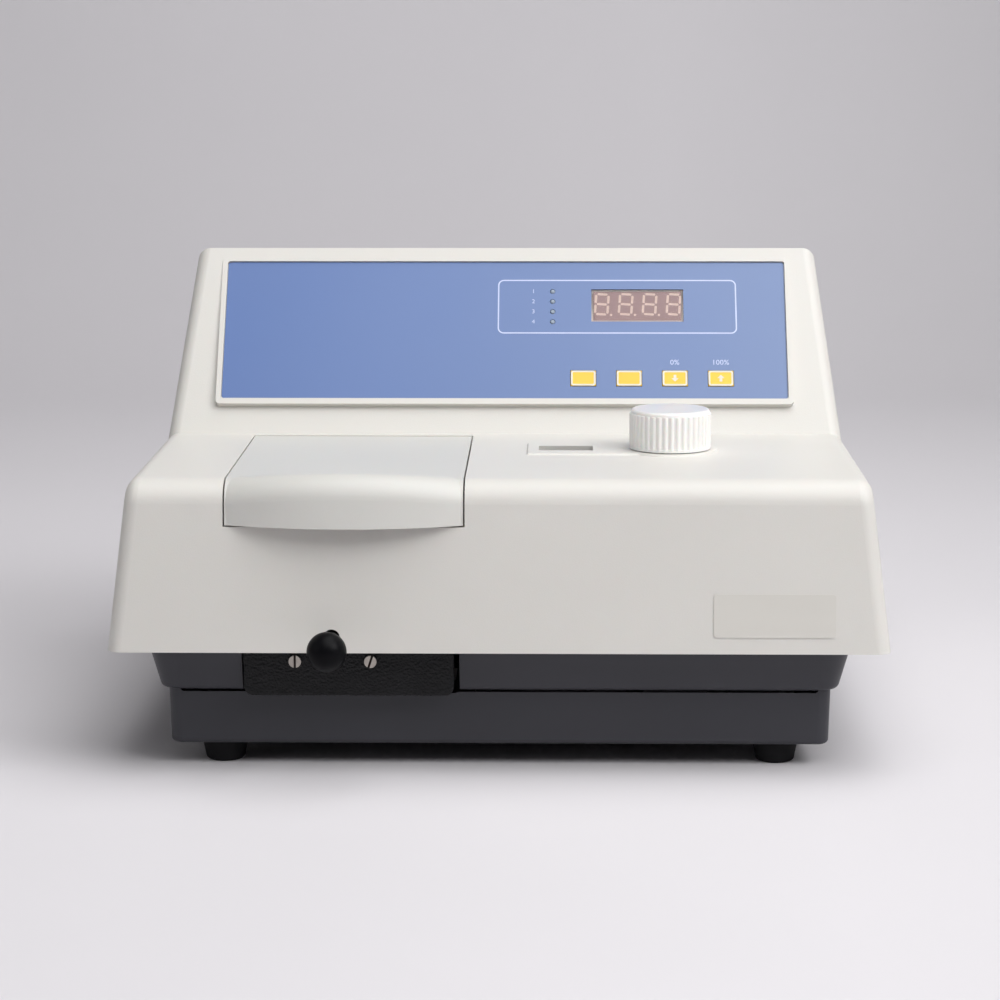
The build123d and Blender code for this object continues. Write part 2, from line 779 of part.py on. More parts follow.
digit_pitch = 12.7
digit_module_height = 17.8
with BuildPart() as digit_display:
    with BuildSketch(panel_plane.offset(board_n)):
        with Locations(window_centre):
            with GridLocations(digit_pitch, 0, 4, 1):
                Rectangle(digit_pitch - 0.2, digit_module_height)
    extrude(amount=8.2)
save(digit_display, "digit_display")

with BuildPart() as indicator_leds:
    with BuildSketch(panel_plane.offset(board_n)):
        with Locations(*led_spots):
            Circle(led_radius)
    extrude(amount=-board_n + 0.4)
    tips = indicator_leds.faces().filter_by(Axis(panel_plane.origin, panel_plane.z_dir))
    tip_rims = tips.filter_by(lambda f: panel_plane.to_local_coords(f.center()).Z > 0).edges()
    fillet(tip_rims, 0.9)
save(indicator_leds, "indicator_leds")

key_back_n = -6.6
for index, spot in enumerate(key_spots, start=1):
    with BuildPart() as key:
        with BuildSketch(panel_plane.offset(key_back_n)):
            with Locations(spot):
                Rectangle(key_width, key_height)
        extrude(amount=key_proud - key_back_n)
        top_rim = key.faces().filter_by(
            lambda f: panel_plane.to_local_coords(f.center()).Z > key_proud - 0.05
        ).edges()
        fillet(top_rim, 0.3)
        with BuildSketch(panel_plane.offset(key_back_n)):
            with Locations(spot):
                Rectangle(key_width + 2, key_height + 2)
        extrude(amount=-1)
        with BuildSketch(panel_plane.offset(key_back_n - 1)):
            with Locations(spot):
                Circle(1.7)
        extrude(amount=board_n + switch_height + 0.6 - key_back_n + 1)
    save(key, f"key_{index}")

# Bare label plate on the front, lower right
label_x = 130.3
label_z = 79.0
label_width = 57.4
label_height = 20.5
label_thick = 0.35
front_face_y = skirt_front_y + (label_z - skirt_z) * slope(front_draft)
front_normal = (0, -math.cos(math.radians(front_draft)), math.sin(math.radians(front_draft)))
label_plane = Plane(origin=(label_x, front_face_y, label_z), x_dir=(1, 0, 0), z_dir=front_normal)
with BuildPart() as label_plate:
    with BuildSketch(label_plane):
        RectangleRounded(label_width, label_height, 1.5)
    extrude(amount=label_thick)
save(label_plate, "label_plate")

# Wavelength knob, its shaft, bushing and lower bracket
knob_low_z = deck_z + pad_rise + knob_gap
with BuildPart() as wavelength_knob:
    with BuildSketch(Plane.XY.offset(knob_low_z)):
        with Locations((knob_x, knob_y)):
            Circle(knob_radius - rib_depth)
    extrude(amount=knob_height)
    fillet(wavelength_knob.faces().sort_by(Axis.Z)[-1].edges(), 1.6)
    with BuildSketch(Plane.XY.offset(knob_low_z)):
        with Locations((knob_x, knob_y)):
            Circle(knob_radius)
    extrude(amount=1.3)
    with BuildSketch(Plane.XY.offset(knob_low_z)):
        with Locations((knob_x, knob_y)):
            with PolarLocations(knob_radius - rib_depth - 0.35, knob_ribs):
                Circle(1.15)
    extrude(amount=knob_height - 2.2)
    with BuildSketch(Plane.XY.offset(knob_low_z)):
        with Locations((knob_x, knob_y)):
            Circle(knob_radius - 3)
            Circle(6.5, mode=Mode.SUBTRACT)
    extrude(amount=knob_height - 4, mode=Mode.SUBTRACT)
    with BuildSketch(Plane.XY.offset(knob_low_z)):
        with Locations((knob_x, knob_y)):
            Circle(shaft_radius)
    extrude(amount=knob_height - 5, mode=Mode.SUBTRACT)
save(wavelength_knob, "wavelength_knob")

gear_z = 126.5
gear_radius = 8.0
gear_gap = 0.3
shaft_low_z = 100.0
big_end_z = gear_z - gear_radius - gear_gap


def bevel(plane):
    """A small bevel wheel on its shaft, big end at the plane."""
    with BuildPart() as wheel:
        with BuildSketch(plane):
            Circle(gear_radius)
        extrude(amount=-2)
        with BuildSketch(plane):
            Circle(gear_radius)
        extrude(amount=3.2, taper=45)
    return wheel.part


with BuildPart() as knob_shaft:
    with BuildSketch(Plane.XY.offset(shaft_low_z)):
        with Locations((knob_x, knob_y)):
            Circle(shaft_radius)
    extrude(amount=knob_low_z + knob_height - 5 - shaft_low_z)
    add(bevel(Plane(origin=(knob_x, knob_y, big_end_z), x_dir=(1, 0, 0), z_dir=(0, 0, 1))))
save(knob_shaft, "knob_shaft")

with BuildPart() as knob_bushing:
    with BuildSketch(Plane.XY.offset(deck_z - 9)):
        with Locations((knob_x, knob_y)):
            Circle(shaft_radius + 3)
    extrude(amount=9 + pad_rise)
    with BuildSketch(Plane.XY.offset(deck_under_z)):
        with Locations((knob_x, knob_y)):
            Circle(shaft_radius + 5)
    extrude(amount=-1.5)
    with BuildSketch(Plane.XY.offset(deck_z + 5)):
        with Locations((knob_x, knob_y)):
            Circle(shaft_radius + shaft_clearance)
    extrude(amount=-20, mode=Mode.SUBTRACT)
save(knob_bushing, "knob_bushing")

# Wavelength counter: lens, frame, cross shaft and four number drums
drum_z = gear_z
drums_width = drum_count * drum_width + (drum_count - 1) * drum_gap
drum_first_x = counter_x + drums_width / 2 - drum_width
with BuildPart() as counter_lens:
    with Locations((counter_x, counter_y, deck_under_z)):
        Box(counter_width + 5, counter_depth + 5, 1.0, align=(Align.CENTER, Align.CENTER, Align.MAX))
save(counter_lens, "counter_lens")

frame_inside = counter_width + 4
with BuildPart() as counter_frame:
    for side in (-1, 1):
        x = counter_x + side * (frame_inside / 2 + 1)
        with Locations((x, counter_y, 0.5 * (deck_under_z - 1 + 112))):
            Box(2, 24, deck_under_z - 1 - 112)
    with Locations((counter_x, counter_y, 112)):
        Box(frame_inside + 4, 24, 2, align=(Align.CENTER, Align.CENTER, Align.MIN))
    with BuildSketch(Plane.YZ.offset(counter_x - frame_inside)):
        with Locations((counter_y, drum_z)):
            Circle(drum_shaft_radius + shaft_clearance)
    extrude(amount=2 * frame_inside, mode=Mode.SUBTRACT)
save(counter_frame, "counter_frame")

counter_bevel_x = knob_x - gear_radius - gear_gap
shaft_left_x = counter_x - frame_inside / 2 - 4
with BuildPart() as counter_shaft:
    with BuildSketch(Plane.YZ.offset(shaft_left_x)):
        with Locations((counter_y, drum_z)):
            Circle(drum_shaft_radius)
    extrude(amount=counter_bevel_x - 2 - shaft_left_x)
    with BuildSketch(Plane.YZ.offset(counter_bevel_x - 6)):
        with Locations((counter_y, drum_z)):
            Circle(shaft_radius)
    extrude(amount=8.5)
    add(bevel(Plane(origin=(counter_bevel_x, counter_y, drum_z), x_dir=(0, 1, 0), z_dir=(1, 0, 0))))
save(counter_shaft, "counter_shaft")

for place in range(drum_count):
    with BuildPart() as drum:
        bore = drum_shaft_radius + (shaft_clearance if place else 0)
        with BuildSketch(Plane.YZ.offset(drum_first_x - place * (drum_width + drum_gap))):
            with Locations((counter_y, drum_z)):
                Circle(drum_radius)
                Circle(bore, mode=Mode.SUBTRACT)
        extrude(amount=drum_width)
        outer_rims = drum.edges().filter_by(GeomType.CIRCLE).group_by(lambda e: e.radius)[-1]
        chamfer(outer_rims, 0.4)
    save(drum, f"counter_drum_{place + 1}")

# Monochromator: box on four legs, cover plate, slits, mirrors and the turning grating
mono_left_x = -16.0
mono_right_x = 74.0
mono_front_y = -100.0
mono_back_y = 20.0
optics_low_z = 60.0
mono_rim_z = 110.0
mono_wall = 2.5
mono_mid_x = (mono_left_x + mono_right_x) / 2
mono_mid_y = (mono_front_y + mono_back_y) / 2
leg_radius = 4.0
slit_width = 1.2
grating_x = mono_mid_x
grating_y = -38.0
pivot_radius = 2.0


def optics_box(low, high, wall, leg_inset):
    """An open-topped box standing on four legs from the tray floor."""
    mid_x = (low[0] + high[0]) / 2
    mid_y = (low[1] + high[1]) / 2
    with BuildPart() as box:
        add(block(low, high))
        inner_low = tuple(v + wall for v in low)
        add(block(inner_low, (high[0] - wall, high[1] - wall, high[2] + 1)), mode=Mode.SUBTRACT)
        with BuildSketch(Plane.XY.offset(low[2])):
            with Locations((mid_x, mid_y)):
                spread_x = high[0] - low[0] - 2 * leg_inset
                with GridLocations(spread_x, high[1] - low[1] - 2 * leg_inset, 2, 2):
                    Circle(leg_radius)
        extrude(amount=tray_floor_z - low[2])
    return box.part


with BuildPart() as monochromator:
    low_corner = (mono_left_x, mono_front_y, optics_low_z)
    add(optics_box(low_corner, (mono_right_x, mono_back_y, mono_rim_z), mono_wall, 8))
    with BuildSketch(Plane.YZ.offset(mono_left_x - 1)):
        with Locations((beam_y, beam_z)):
            Circle(beam_radius)
    extrude(amount=mono_right_x - mono_left_x + 2, mode=Mode.SUBTRACT)
    # pivot pin for the grating, and the bracket that steadies the knob shaft
    with BuildSketch(Plane.XY.offset(optics_low_z + mono_wall)):
        with Locations((grating_x, grating_y)):
            Circle(5)
    extrude(amount=1.5)
    with BuildSketch(Plane.XY.offset(optics_low_z + mono_wall)):
        with Locations((grating_x, grating_y)):
            Circle(pivot_radius)
    extrude(amount=10)
    add(block((mono_right_x, knob_y - 8, 103), (knob_x + 7, knob_y + 8, 108)))
    with BuildSketch(Plane.XY.offset(102)):
        with Locations((knob_x, knob_y)):
            Circle(shaft_radius + shaft_clearance)
    extrude(amount=8, mode=Mode.SUBTRACT)
save(monochromator, "monochromator")

with BuildPart() as monochromator_cover:
    add(block((mono_left_x, mono_front_y, mono_rim_z), (mono_right_x, mono_back_y, mono_rim_z + 2)))
save(monochromator_cover, "monochromator_cover")

with BuildPart() as beam_tubes:
    chamber_right_x = lid_x + chamber_width / 2
    lamp_left_x = 100.0
    for start, end in ((chamber_right_x, mono_left_x), (mono_right_x, lamp_left_x)):
        with BuildSketch(Plane.YZ.offset(start)):
            with Locations((beam_y, beam_z)):
                Circle(beam_radius + 3)
                Circle(beam_radius, mode=Mode.SUBTRACT)
        extrude(amount=end - start)
    for x in (mono_left_x + mono_wall, mono_right_x - mono_wall - 1):
        with BuildSketch(Plane.YZ.offset(x)):
            with Locations((beam_y, beam_z)):
                Circle(beam_radius + 4)
                Rectangle(slit_width, 8, mode=Mode.SUBTRACT)
        extrude(amount=1)
save(beam_tubes, "beam_tubes")

mirror_y = mono_back_y - mono_wall
with BuildPart() as mirrors:
    for x in (mono_left_x + 22, mono_right_x - 22):
        with BuildSketch(Plane.XZ.offset(-mirror_y)):
            with Locations((x, beam_z)):
                Circle(15)
        extrude(amount=8)
        with Locations((x, mirror_y - 8 - 58, beam_z)):
            Sphere(60, mode=Mode.SUBTRACT)
save(mirrors, "mirrors")

table_low_z = optics_low_z + mono_wall + 1.5 + 0.1
with BuildPart() as grating_table:
    with BuildSketch(Plane.XY.offset(table_low_z)):
        with Locations((grating_x, grating_y)):
            Circle(16)
            Circle(pivot_radius + 0.06, mode=Mode.SUBTRACT)
    extrude(amount=5)
    with Locations(Location((grating_x, grating_y, table_low_z + 5), (0, 0, 12))):
        with Locations((0, 7, 0)):
            Box(26, 5, 28, align=holder_align)
save(grating_table, "grating_table")

# Lamp house with its two lamps
lamp_right_x = 152.0
lamp_front_y = -99.0
lamp_back_y = -42.0
lamp_floor_z = optics_low_z + 2
lamp_low = (lamp_left_x, lamp_front_y, optics_low_z)
with BuildPart() as lamp_house:
    add(optics_box(lamp_low, (lamp_right_x, lamp_back_y, mono_rim_z), 2, 8))
    with BuildSketch(Plane.YZ.offset(lamp_left_x - 1)):
        with Locations((beam_y, beam_z)):
            Circle(beam_radius)
    extrude(amount=5, mode=Mode.SUBTRACT)
    with BuildSketch(Plane.YZ.offset(lamp_right_x + 1)):
        with Locations((beam_y, beam_z)):
            with GridLocations(8, 0, 4, 1):
                SlotOverall(30, 4, rotation=90)
    extrude(amount=-5, mode=Mode.SUBTRACT)
    with BuildSketch(Plane.XY.offset(lamp_floor_z)):
        with Locations((128, beam_y)):
            Circle(12)
        with Locations((112, -54)):
            Circle(7)
    extrude(amount=8)
save(lamp_house, "lamp_house")

with BuildPart() as lamps:
    with BuildSketch(Plane.XY.offset(lamp_floor_z + 8)):
        with Locations((128, beam_y)):
            Circle(10)
    extrude(amount=34)
    fillet(lamps.edges().sort_by(Axis.Z)[-1], 8)
    with BuildSketch(Plane.XY.offset(lamp_floor_z + 8)):
        with Locations((112, -54)):
            Circle(5)
    extrude(amount=22)
save(lamps, "lamps")

# Detector on the chamber's left wall
chamber_left_x = lid_x - chamber_width / 2
with BuildPart() as detector_housing:
    add(block((chamber_left_x - 28, beam_y - 22, beam_z - 18), (chamber_left_x, beam_y + 22, beam_z + 18)))
    with BuildSketch(Plane.YZ.offset(chamber_left_x)):
        with Locations((beam_y, beam_z)):
            Circle(11)
    extrude(amount=-22, mode=Mode.SUBTRACT)
save(detector_housing, "detector_housing")

with BuildPart() as photodiode:
    with BuildSketch(Plane.YZ.offset(chamber_left_x - 22)):
        with Locations((beam_y, beam_z)):
            Circle(9)
    extrude(amount=6)
save(photodiode, "photodiode")

# Power supply: laminated transformer, power board, main board and their parts
core_x = -112.0
core_y = 95.0
with BuildPart() as transformer_core:
    with Locations((core_x, core_y, tray_floor_z)):
        Box(66, 34, 56, align=holder_align)
    with BuildSketch(Plane.XZ.offset(-core_y + 30)):
        with Locations((core_x - 16.5, tray_floor_z + 28), (core_x + 16.5, tray_floor_z + 28)):
            Rectangle(11, 34)
    extrude(amount=-60, mode=Mode.SUBTRACT)
save(transformer_core, "transformer_core")

with BuildPart() as transformer_coil:
    with Locations((core_x, core_y, tray_floor_z + 12)):
        Box(43, 54, 32, align=holder_align)
        Box(22, 34, 32, align=holder_align, mode=Mode.SUBTRACT)
    fillet(transformer_coil.edges().filter_by(Axis.Z).group_by(Axis.X)[-1], 5)
    fillet(transformer_coil.edges().filter_by(Axis.Z).group_by(Axis.X)[0], 5)
save(transformer_coil, "transformer_coil")

with BuildPart() as circuit_boards:
    with Locations((*power_board_spot, board_z)):
        Box(*power_board_size, board_thick, align=holder_align)
    with Locations((*main_board_spot, board_z)):
        Box(*main_board_size, board_thick, align=holder_align)
save(circuit_boards, "circuit_boards")

parts_z = board_z + board_thick
with BuildPart() as board_parts:
    with Locations((-54, 125, parts_z), (-54, 98, parts_z)):
        Cylinder(11, 32, align=holder_align)
    with Locations((-30, 130, parts_z), (-16, 130, parts_z), (-2, 130, parts_z)):
        Cylinder(5, 14, align=holder_align)
    with Locations((-18, 88, parts_z)):
        Box(50, 4, 38, align=holder_align)
        with GridLocations(6, 0, 8, 1):
            with Locations((0, 8, 0)):
                Box(1.6, 16, 38, align=holder_align)
    with Locations((*main_board_spot, parts_z)):
        with GridLocations(30, 26, 3, 3):
            Box(18, 8, 3.6, align=holder_align)
    with Locations((main_board_spot[0], main_board_spot[1] + 44, parts_z)):
        Box(60, 9, 8, align=holder_align)
save(board_parts, "board_parts")

# Rear panel with the fan, mains inlet, fuse, rocker switch and serial port
sheet = 1.2
rear_face_y = rear_y + sheet
fan_x = -95.0
fan_z = 130.0
fan_side = 60.0
fan_depth = 15.0
fan_bore = 28.5
fitting_z = 92.0
inlet_x = 110.0
rocker_x = 68.0
fuse_x = 34.0
serial_x = -8.0
inlet_width = 27.2
inlet_height = 20.0
switch_width = 20.0
switch_height_z = 26.0
serial_width = 17.0
serial_height = 8.4
with BuildPart() as rear_panel:
    with BuildSketch(Plane.XZ.offset(-rear_y)):
        with Locations((0, (rear_open_low + rear_open_high) / 2)):
            RectangleRounded(2 * rear_open_half + 16, rear_open_high - rear_open_low + 14, 5)
        with Locations((fan_x, fan_z)):
            Circle(fan_bore, mode=Mode.SUBTRACT)
        with Locations((inlet_x, fitting_z)):
            Rectangle(inlet_width, inlet_height, mode=Mode.SUBTRACT)
        with Locations((rocker_x, fitting_z)):
            Rectangle(switch_width, switch_height_z, mode=Mode.SUBTRACT)
        with Locations((fuse_x, fitting_z)):
            Circle(6, mode=Mode.SUBTRACT)
        with Locations((serial_x, fitting_z)):
            Rectangle(serial_width, serial_height, mode=Mode.SUBTRACT)
        with Locations((60, 150)):
            with GridLocations(9, 0, 12, 1):
                SlotOverall(44, 4, rotation=90, mode=Mode.SUBTRACT)
        with Locations(*rear_screw_spots):
            Circle(rear_screw_radius, mode=Mode.SUBTRACT)
    extrude(amount=-sheet)
save(rear_panel, "rear_panel")

with BuildPart() as rear_screws:
    for x, z in rear_screw_spots:
        add(screw((x, rear_face_y, z), (0, 1, 0), 2.8, 1.5, rear_screw_radius, 5, 30))
save(rear_screws, "rear_screws")

with BuildPart() as fan_frame:
    with BuildSketch(Plane.XZ.offset(-rear_y)):
        with Locations((fan_x, fan_z)):
            RectangleRounded(fan_side, fan_side, 3)
            Circle(fan_bore, mode=Mode.SUBTRACT)
    extrude(amount=fan_depth)
    with BuildSketch(Plane.XZ.offset(-rear_y + fan_depth)):
        with Locations((fan_x, fan_z)):
            Circle(14)
            Rectangle(fan_side - 1, 4)
            Rectangle(4, fan_side - 1)
    extrude(amount=-2.5)
    with BuildSketch(Plane.XZ.offset(-rear_y + fan_depth)):
        with Locations((fan_x, fan_z)):
            Circle(1.5)
    extrude(amount=-9)
save(fan_frame, "fan_frame")

with BuildPart() as fan_rotor:
    rotor_plane = Plane.XZ.offset(-rear_y + fan_depth - 3.2)
    with BuildSketch(rotor_plane):
        with Locations((fan_x, fan_z)):
            Circle(13)
    extrude(amount=-9.5)
    for turn in range(7):
        outward = Vector(math.cos(turn * math.tau / 7), 0, math.sin(turn * math.tau / 7))
        sideways = outward.cross(Vector(0, 1, 0))
        pitch = math.radians(35)
        across = Vector(0, 1, 0) * math.cos(pitch) + sideways * math.sin(pitch)
        blade_origin = (fan_x, rear_y - fan_depth + 8, fan_z)
        with BuildSketch(Plane(origin=blade_origin, x_dir=outward, z_dir=across)):
            with Locations((19.5, 0)):
                Rectangle(16, 10)
        extrude(amount=0.7, both=True)
    with BuildSketch(Plane.XZ.offset(-rear_y - 1)):
        with Locations((fan_x, fan_z)):
            Circle(fan_bore + 10)
            Circle(fan_bore - 0.9, mode=Mode.SUBTRACT)
    extrude(amount=30, mode=Mode.SUBTRACT)
    with BuildSketch(rotor_plane.offset(1)):
        with Locations((fan_x, fan_z)):
            Circle(1.56)
    extrude(amount=-8, mode=Mode.SUBTRACT)
save(fan_rotor, "fan_rotor")

with BuildPart() as fan_guard:
    with BuildSketch(Plane.XZ.offset(-rear_face_y)):
        with Locations((fan_x, fan_z)):
            for radius in (10, 18, 26, 33):
                Circle(radius + 0.8)
                Circle(radius - 0.8, mode=Mode.SUBTRACT)
            Rectangle(78, 1.8, rotation=45)
            Rectangle(78, 1.8, rotation=-45)
    extrude(amount=-1.4)
save(fan_guard, "fan_guard")

inlet_flange = 2.0
with BuildPart() as power_inlet:
    with BuildSketch(Plane.XZ.offset(-rear_face_y)):
        with Locations((inlet_x, fitting_z)):
            RectangleRounded(48, 24, 4)
    extrude(amount=-inlet_flange)
    with BuildSketch(Plane.XZ.offset(-rear_face_y)):
        with Locations((inlet_x, fitting_z)):
            Rectangle(inlet_width, inlet_height)
    extrude(amount=20)
    with BuildSketch(Plane.XZ.offset(-rear_face_y - inlet_flange)):
        with Locations((inlet_x, fitting_z)):
            Rectangle(24.2, 16.4)
            with Locations((-12.1, 8.2), (12.1, 8.2)):
                Rectangle(6, 6, rotation=45, mode=Mode.SUBTRACT)
    extrude(amount=17, mode=Mode.SUBTRACT)
save(power_inlet, "power_inlet")

with BuildPart() as inlet_pins:
    pin_base_y = rear_face_y + inlet_flange - 17
    with Locations((inlet_x, pin_base_y, fitting_z + 2)):
        Box(2, 10.5, 4, align=(Align.CENTER, Align.MIN, Align.CENTER))
    with Locations((inlet_x - 7, pin_base_y, fitting_z - 2), (inlet_x + 7, pin_base_y, fitting_z - 2)):
        Box(2, 10.5, 4, align=(Align.CENTER, Align.MIN, Align.CENTER))
save(inlet_pins, "inlet_pins")

with BuildPart() as fuse_holder:
    with BuildSketch(Plane.XZ.offset(-rear_face_y)):
        with Locations((fuse_x, fitting_z)):
            Circle(6)
    extrude(amount=26)
    with BuildSketch(Plane.XZ.offset(-rear_face_y)):
        with Locations((fuse_x, fitting_z)):
            Circle(8)
    extrude(amount=-inlet_flange)
    with BuildSketch(Plane.XZ.offset(-rear_face_y - inlet_flange)):
        with Locations((fuse_x, fitting_z)):
            Rectangle(8, 1.2)
    extrude(amount=1, mode=Mode.SUBTRACT)
save(fuse_holder, "fuse_holder")

with BuildPart() as serial_port:
    with BuildSketch(Plane.XZ.offset(-rear_y)):
        with Locations((serial_x, fitting_z)):
            Rectangle(31, 12.5)
    extrude(amount=1)
    with BuildSketch(Plane.XZ.offset(-rear_y)):
        with Locations((serial_x, fitting_z)):
            Rectangle(serial_width, serial_height)
    extrude(amount=-3)
    with BuildSketch(Plane.XZ.offset(-rear_y + 1)):
        with Locations((serial_x, fitting_z)):
            Rectangle(20, 10)
    extrude(amount=8)
    with BuildSketch(Plane.XZ.offset(-rear_y - 3)):
        with Locations((serial_x, fitting_z)):
            Rectangle(serial_width - 1, serial_height - 1)
    extrude(amount=6, mode=Mode.SUBTRACT)
    with BuildSketch(Plane.XZ.offset(-rear_y + 3)):
        with Locations((serial_x, fitting_z + 1.4)):
            with GridLocations(2.77, 0, 5, 1):
                Circle(0.5)
        with Locations((serial_x, fitting_z - 1.4)):
            with GridLocations(2.77, 0, 4, 1):
                Circle(0.5)
    extrude(amount=-5)
save(serial_port, "serial_port")

rocker_y = rear_y - 0.8
rocker_pin_radius = 1.2
rocker_clearance = 0.05
well_inner_width = 17.0
well_inner_height = 22.4
with BuildPart() as switch_frame:
    with BuildSketch(Plane.XZ.offset(-rear_face_y)):
        with Locations((rocker_x, fitting_z)):
            RectangleRounded(switch_width + 5, switch_height_z + 5, 1.5)
    extrude(amount=-inlet_flange)
    with BuildSketch(Plane.XZ.offset(-rear_face_y)):
        with Locations((rocker_x, fitting_z)):
            Rectangle(switch_width, switch_height_z)
    extrude(amount=20)
    with BuildSketch(Plane.XZ.offset(-rear_face_y - inlet_flange)):
        with Locations((rocker_x, fitting_z)):
            Rectangle(well_inner_width, well_inner_height)
    extrude(amount=14, mode=Mode.SUBTRACT)
    with BuildSketch(Plane.YZ.offset(rocker_x - switch_width / 2 + 0.3)):
        with Locations((rocker_y, fitting_z)):
            Circle(rocker_pin_radius + rocker_clearance)
    extrude(amount=switch_width - 0.6, mode=Mode.SUBTRACT)
save(switch_frame, "switch_frame")

rocker_tilt = 8.0
rocker_outline = [(-7, -5), (-7, 5), (0.5, 9.8), (2.6, 9.8), (1.4, 0), (2.6, -9.8), (0.5, -9.8)]
tilt_x = math.cos(math.radians(rocker_tilt))
tilt_z = math.sin(math.radians(rocker_tilt))
rocker_low_x = rocker_x - well_inner_width / 2 + running_gap
rocker_origin = (rocker_low_x, rocker_y, fitting_z)
rocker_plane = Plane(origin=rocker_origin, x_dir=(0, tilt_x, tilt_z), z_dir=(1, 0, 0))
with BuildPart() as rocker:
    with BuildSketch(rocker_plane):
        with BuildLine():
            Polyline(*rocker_outline, close=True)
        make_face()
    extrude(amount=well_inner_width - 2 * running_gap)
    with BuildSketch(Plane.YZ.offset(rocker_x - switch_width / 2 + 0.6)):
        with Locations((rocker_y, fitting_z)):
            Circle(rocker_pin_radius)
    extrude(amount=switch_width - 1.2)
save(rocker, "rocker")
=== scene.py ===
# %% [markdown]
# # A bench spectrophotometer in an ivory case
# The CAD model comes in as a fixed frame, in metres, with every part in its place.
# This script gives each part its finish, adds the fine pieces that are too small for the CAD,
# and sets the floor, the lights and the camera. Nothing that came from the CAD is moved.

# %% Load the frame
import math

import bpy
from mathutils import Matrix, Vector


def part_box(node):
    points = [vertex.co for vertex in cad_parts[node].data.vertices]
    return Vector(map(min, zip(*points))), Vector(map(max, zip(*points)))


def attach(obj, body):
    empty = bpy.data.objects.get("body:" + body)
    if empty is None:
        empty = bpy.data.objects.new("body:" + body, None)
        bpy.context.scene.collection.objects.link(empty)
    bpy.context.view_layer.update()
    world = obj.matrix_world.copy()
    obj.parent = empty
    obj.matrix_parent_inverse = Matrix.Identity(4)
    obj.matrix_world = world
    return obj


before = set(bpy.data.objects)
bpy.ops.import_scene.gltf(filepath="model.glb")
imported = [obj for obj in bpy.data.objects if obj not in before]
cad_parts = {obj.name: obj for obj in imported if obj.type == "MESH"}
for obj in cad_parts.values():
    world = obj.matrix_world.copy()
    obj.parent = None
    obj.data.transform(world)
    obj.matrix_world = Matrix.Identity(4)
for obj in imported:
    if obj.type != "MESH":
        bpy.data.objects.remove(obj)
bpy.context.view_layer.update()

MM = 0.001

# %% [markdown]
# Most of the work here is done with Blender's own operators, which act on whatever is selected.
# Two small helpers keep that tidy: one deselects everything, and one bakes an object's place into
# its mesh, so that every finished piece sits at the origin like the parts from the CAD.

# %% Helpers for operators


def select_only(piece):
    bpy.ops.object.select_all(action="DESELECT")
    piece.select_set(True)
    bpy.context.view_layer.objects.active = piece


def settle(piece, place=Matrix.Identity(4)):
    """Moves a piece by a matrix and applies it, so the object itself stays at the origin."""
    select_only(piece)
    piece.matrix_world = place @ piece.matrix_world
    bpy.ops.object.transform_apply(location=True, rotation=True, scale=True)
    return piece


def name_it(piece, name):
    piece.name = name
    piece.data.name = name
    return piece


def join_pieces(pieces, name):
    select_only(pieces[0])
    for piece in pieces[1:]:
        piece.select_set(True)
    if len(pieces) > 1:
        bpy.ops.object.join()
    return name_it(bpy.context.view_layer.objects.active, name)


# %% [markdown]
# A material is a small network of nodes. Every finish on this instrument follows one plan:
# slow, broad noise moves the colour a little, as real mouldings and paints do, and a fine pattern
# feeds a Bump node for the grain of the surface. Only the sizes and depths differ, so one function
# makes the shared network, and each finish below says what is its own.

# %% The shared surface recipe


def node(tree, kind, **settings):
    made = tree.nodes.new(kind)
    for key, value in settings.items():
        if key in made.inputs:
            made.inputs[key].default_value = value
        else:
            setattr(made, key, value)
    return made


def shade(colour, factor):
    return tuple(min(1.0, channel * factor) for channel in colour[:3]) + (1.0,)


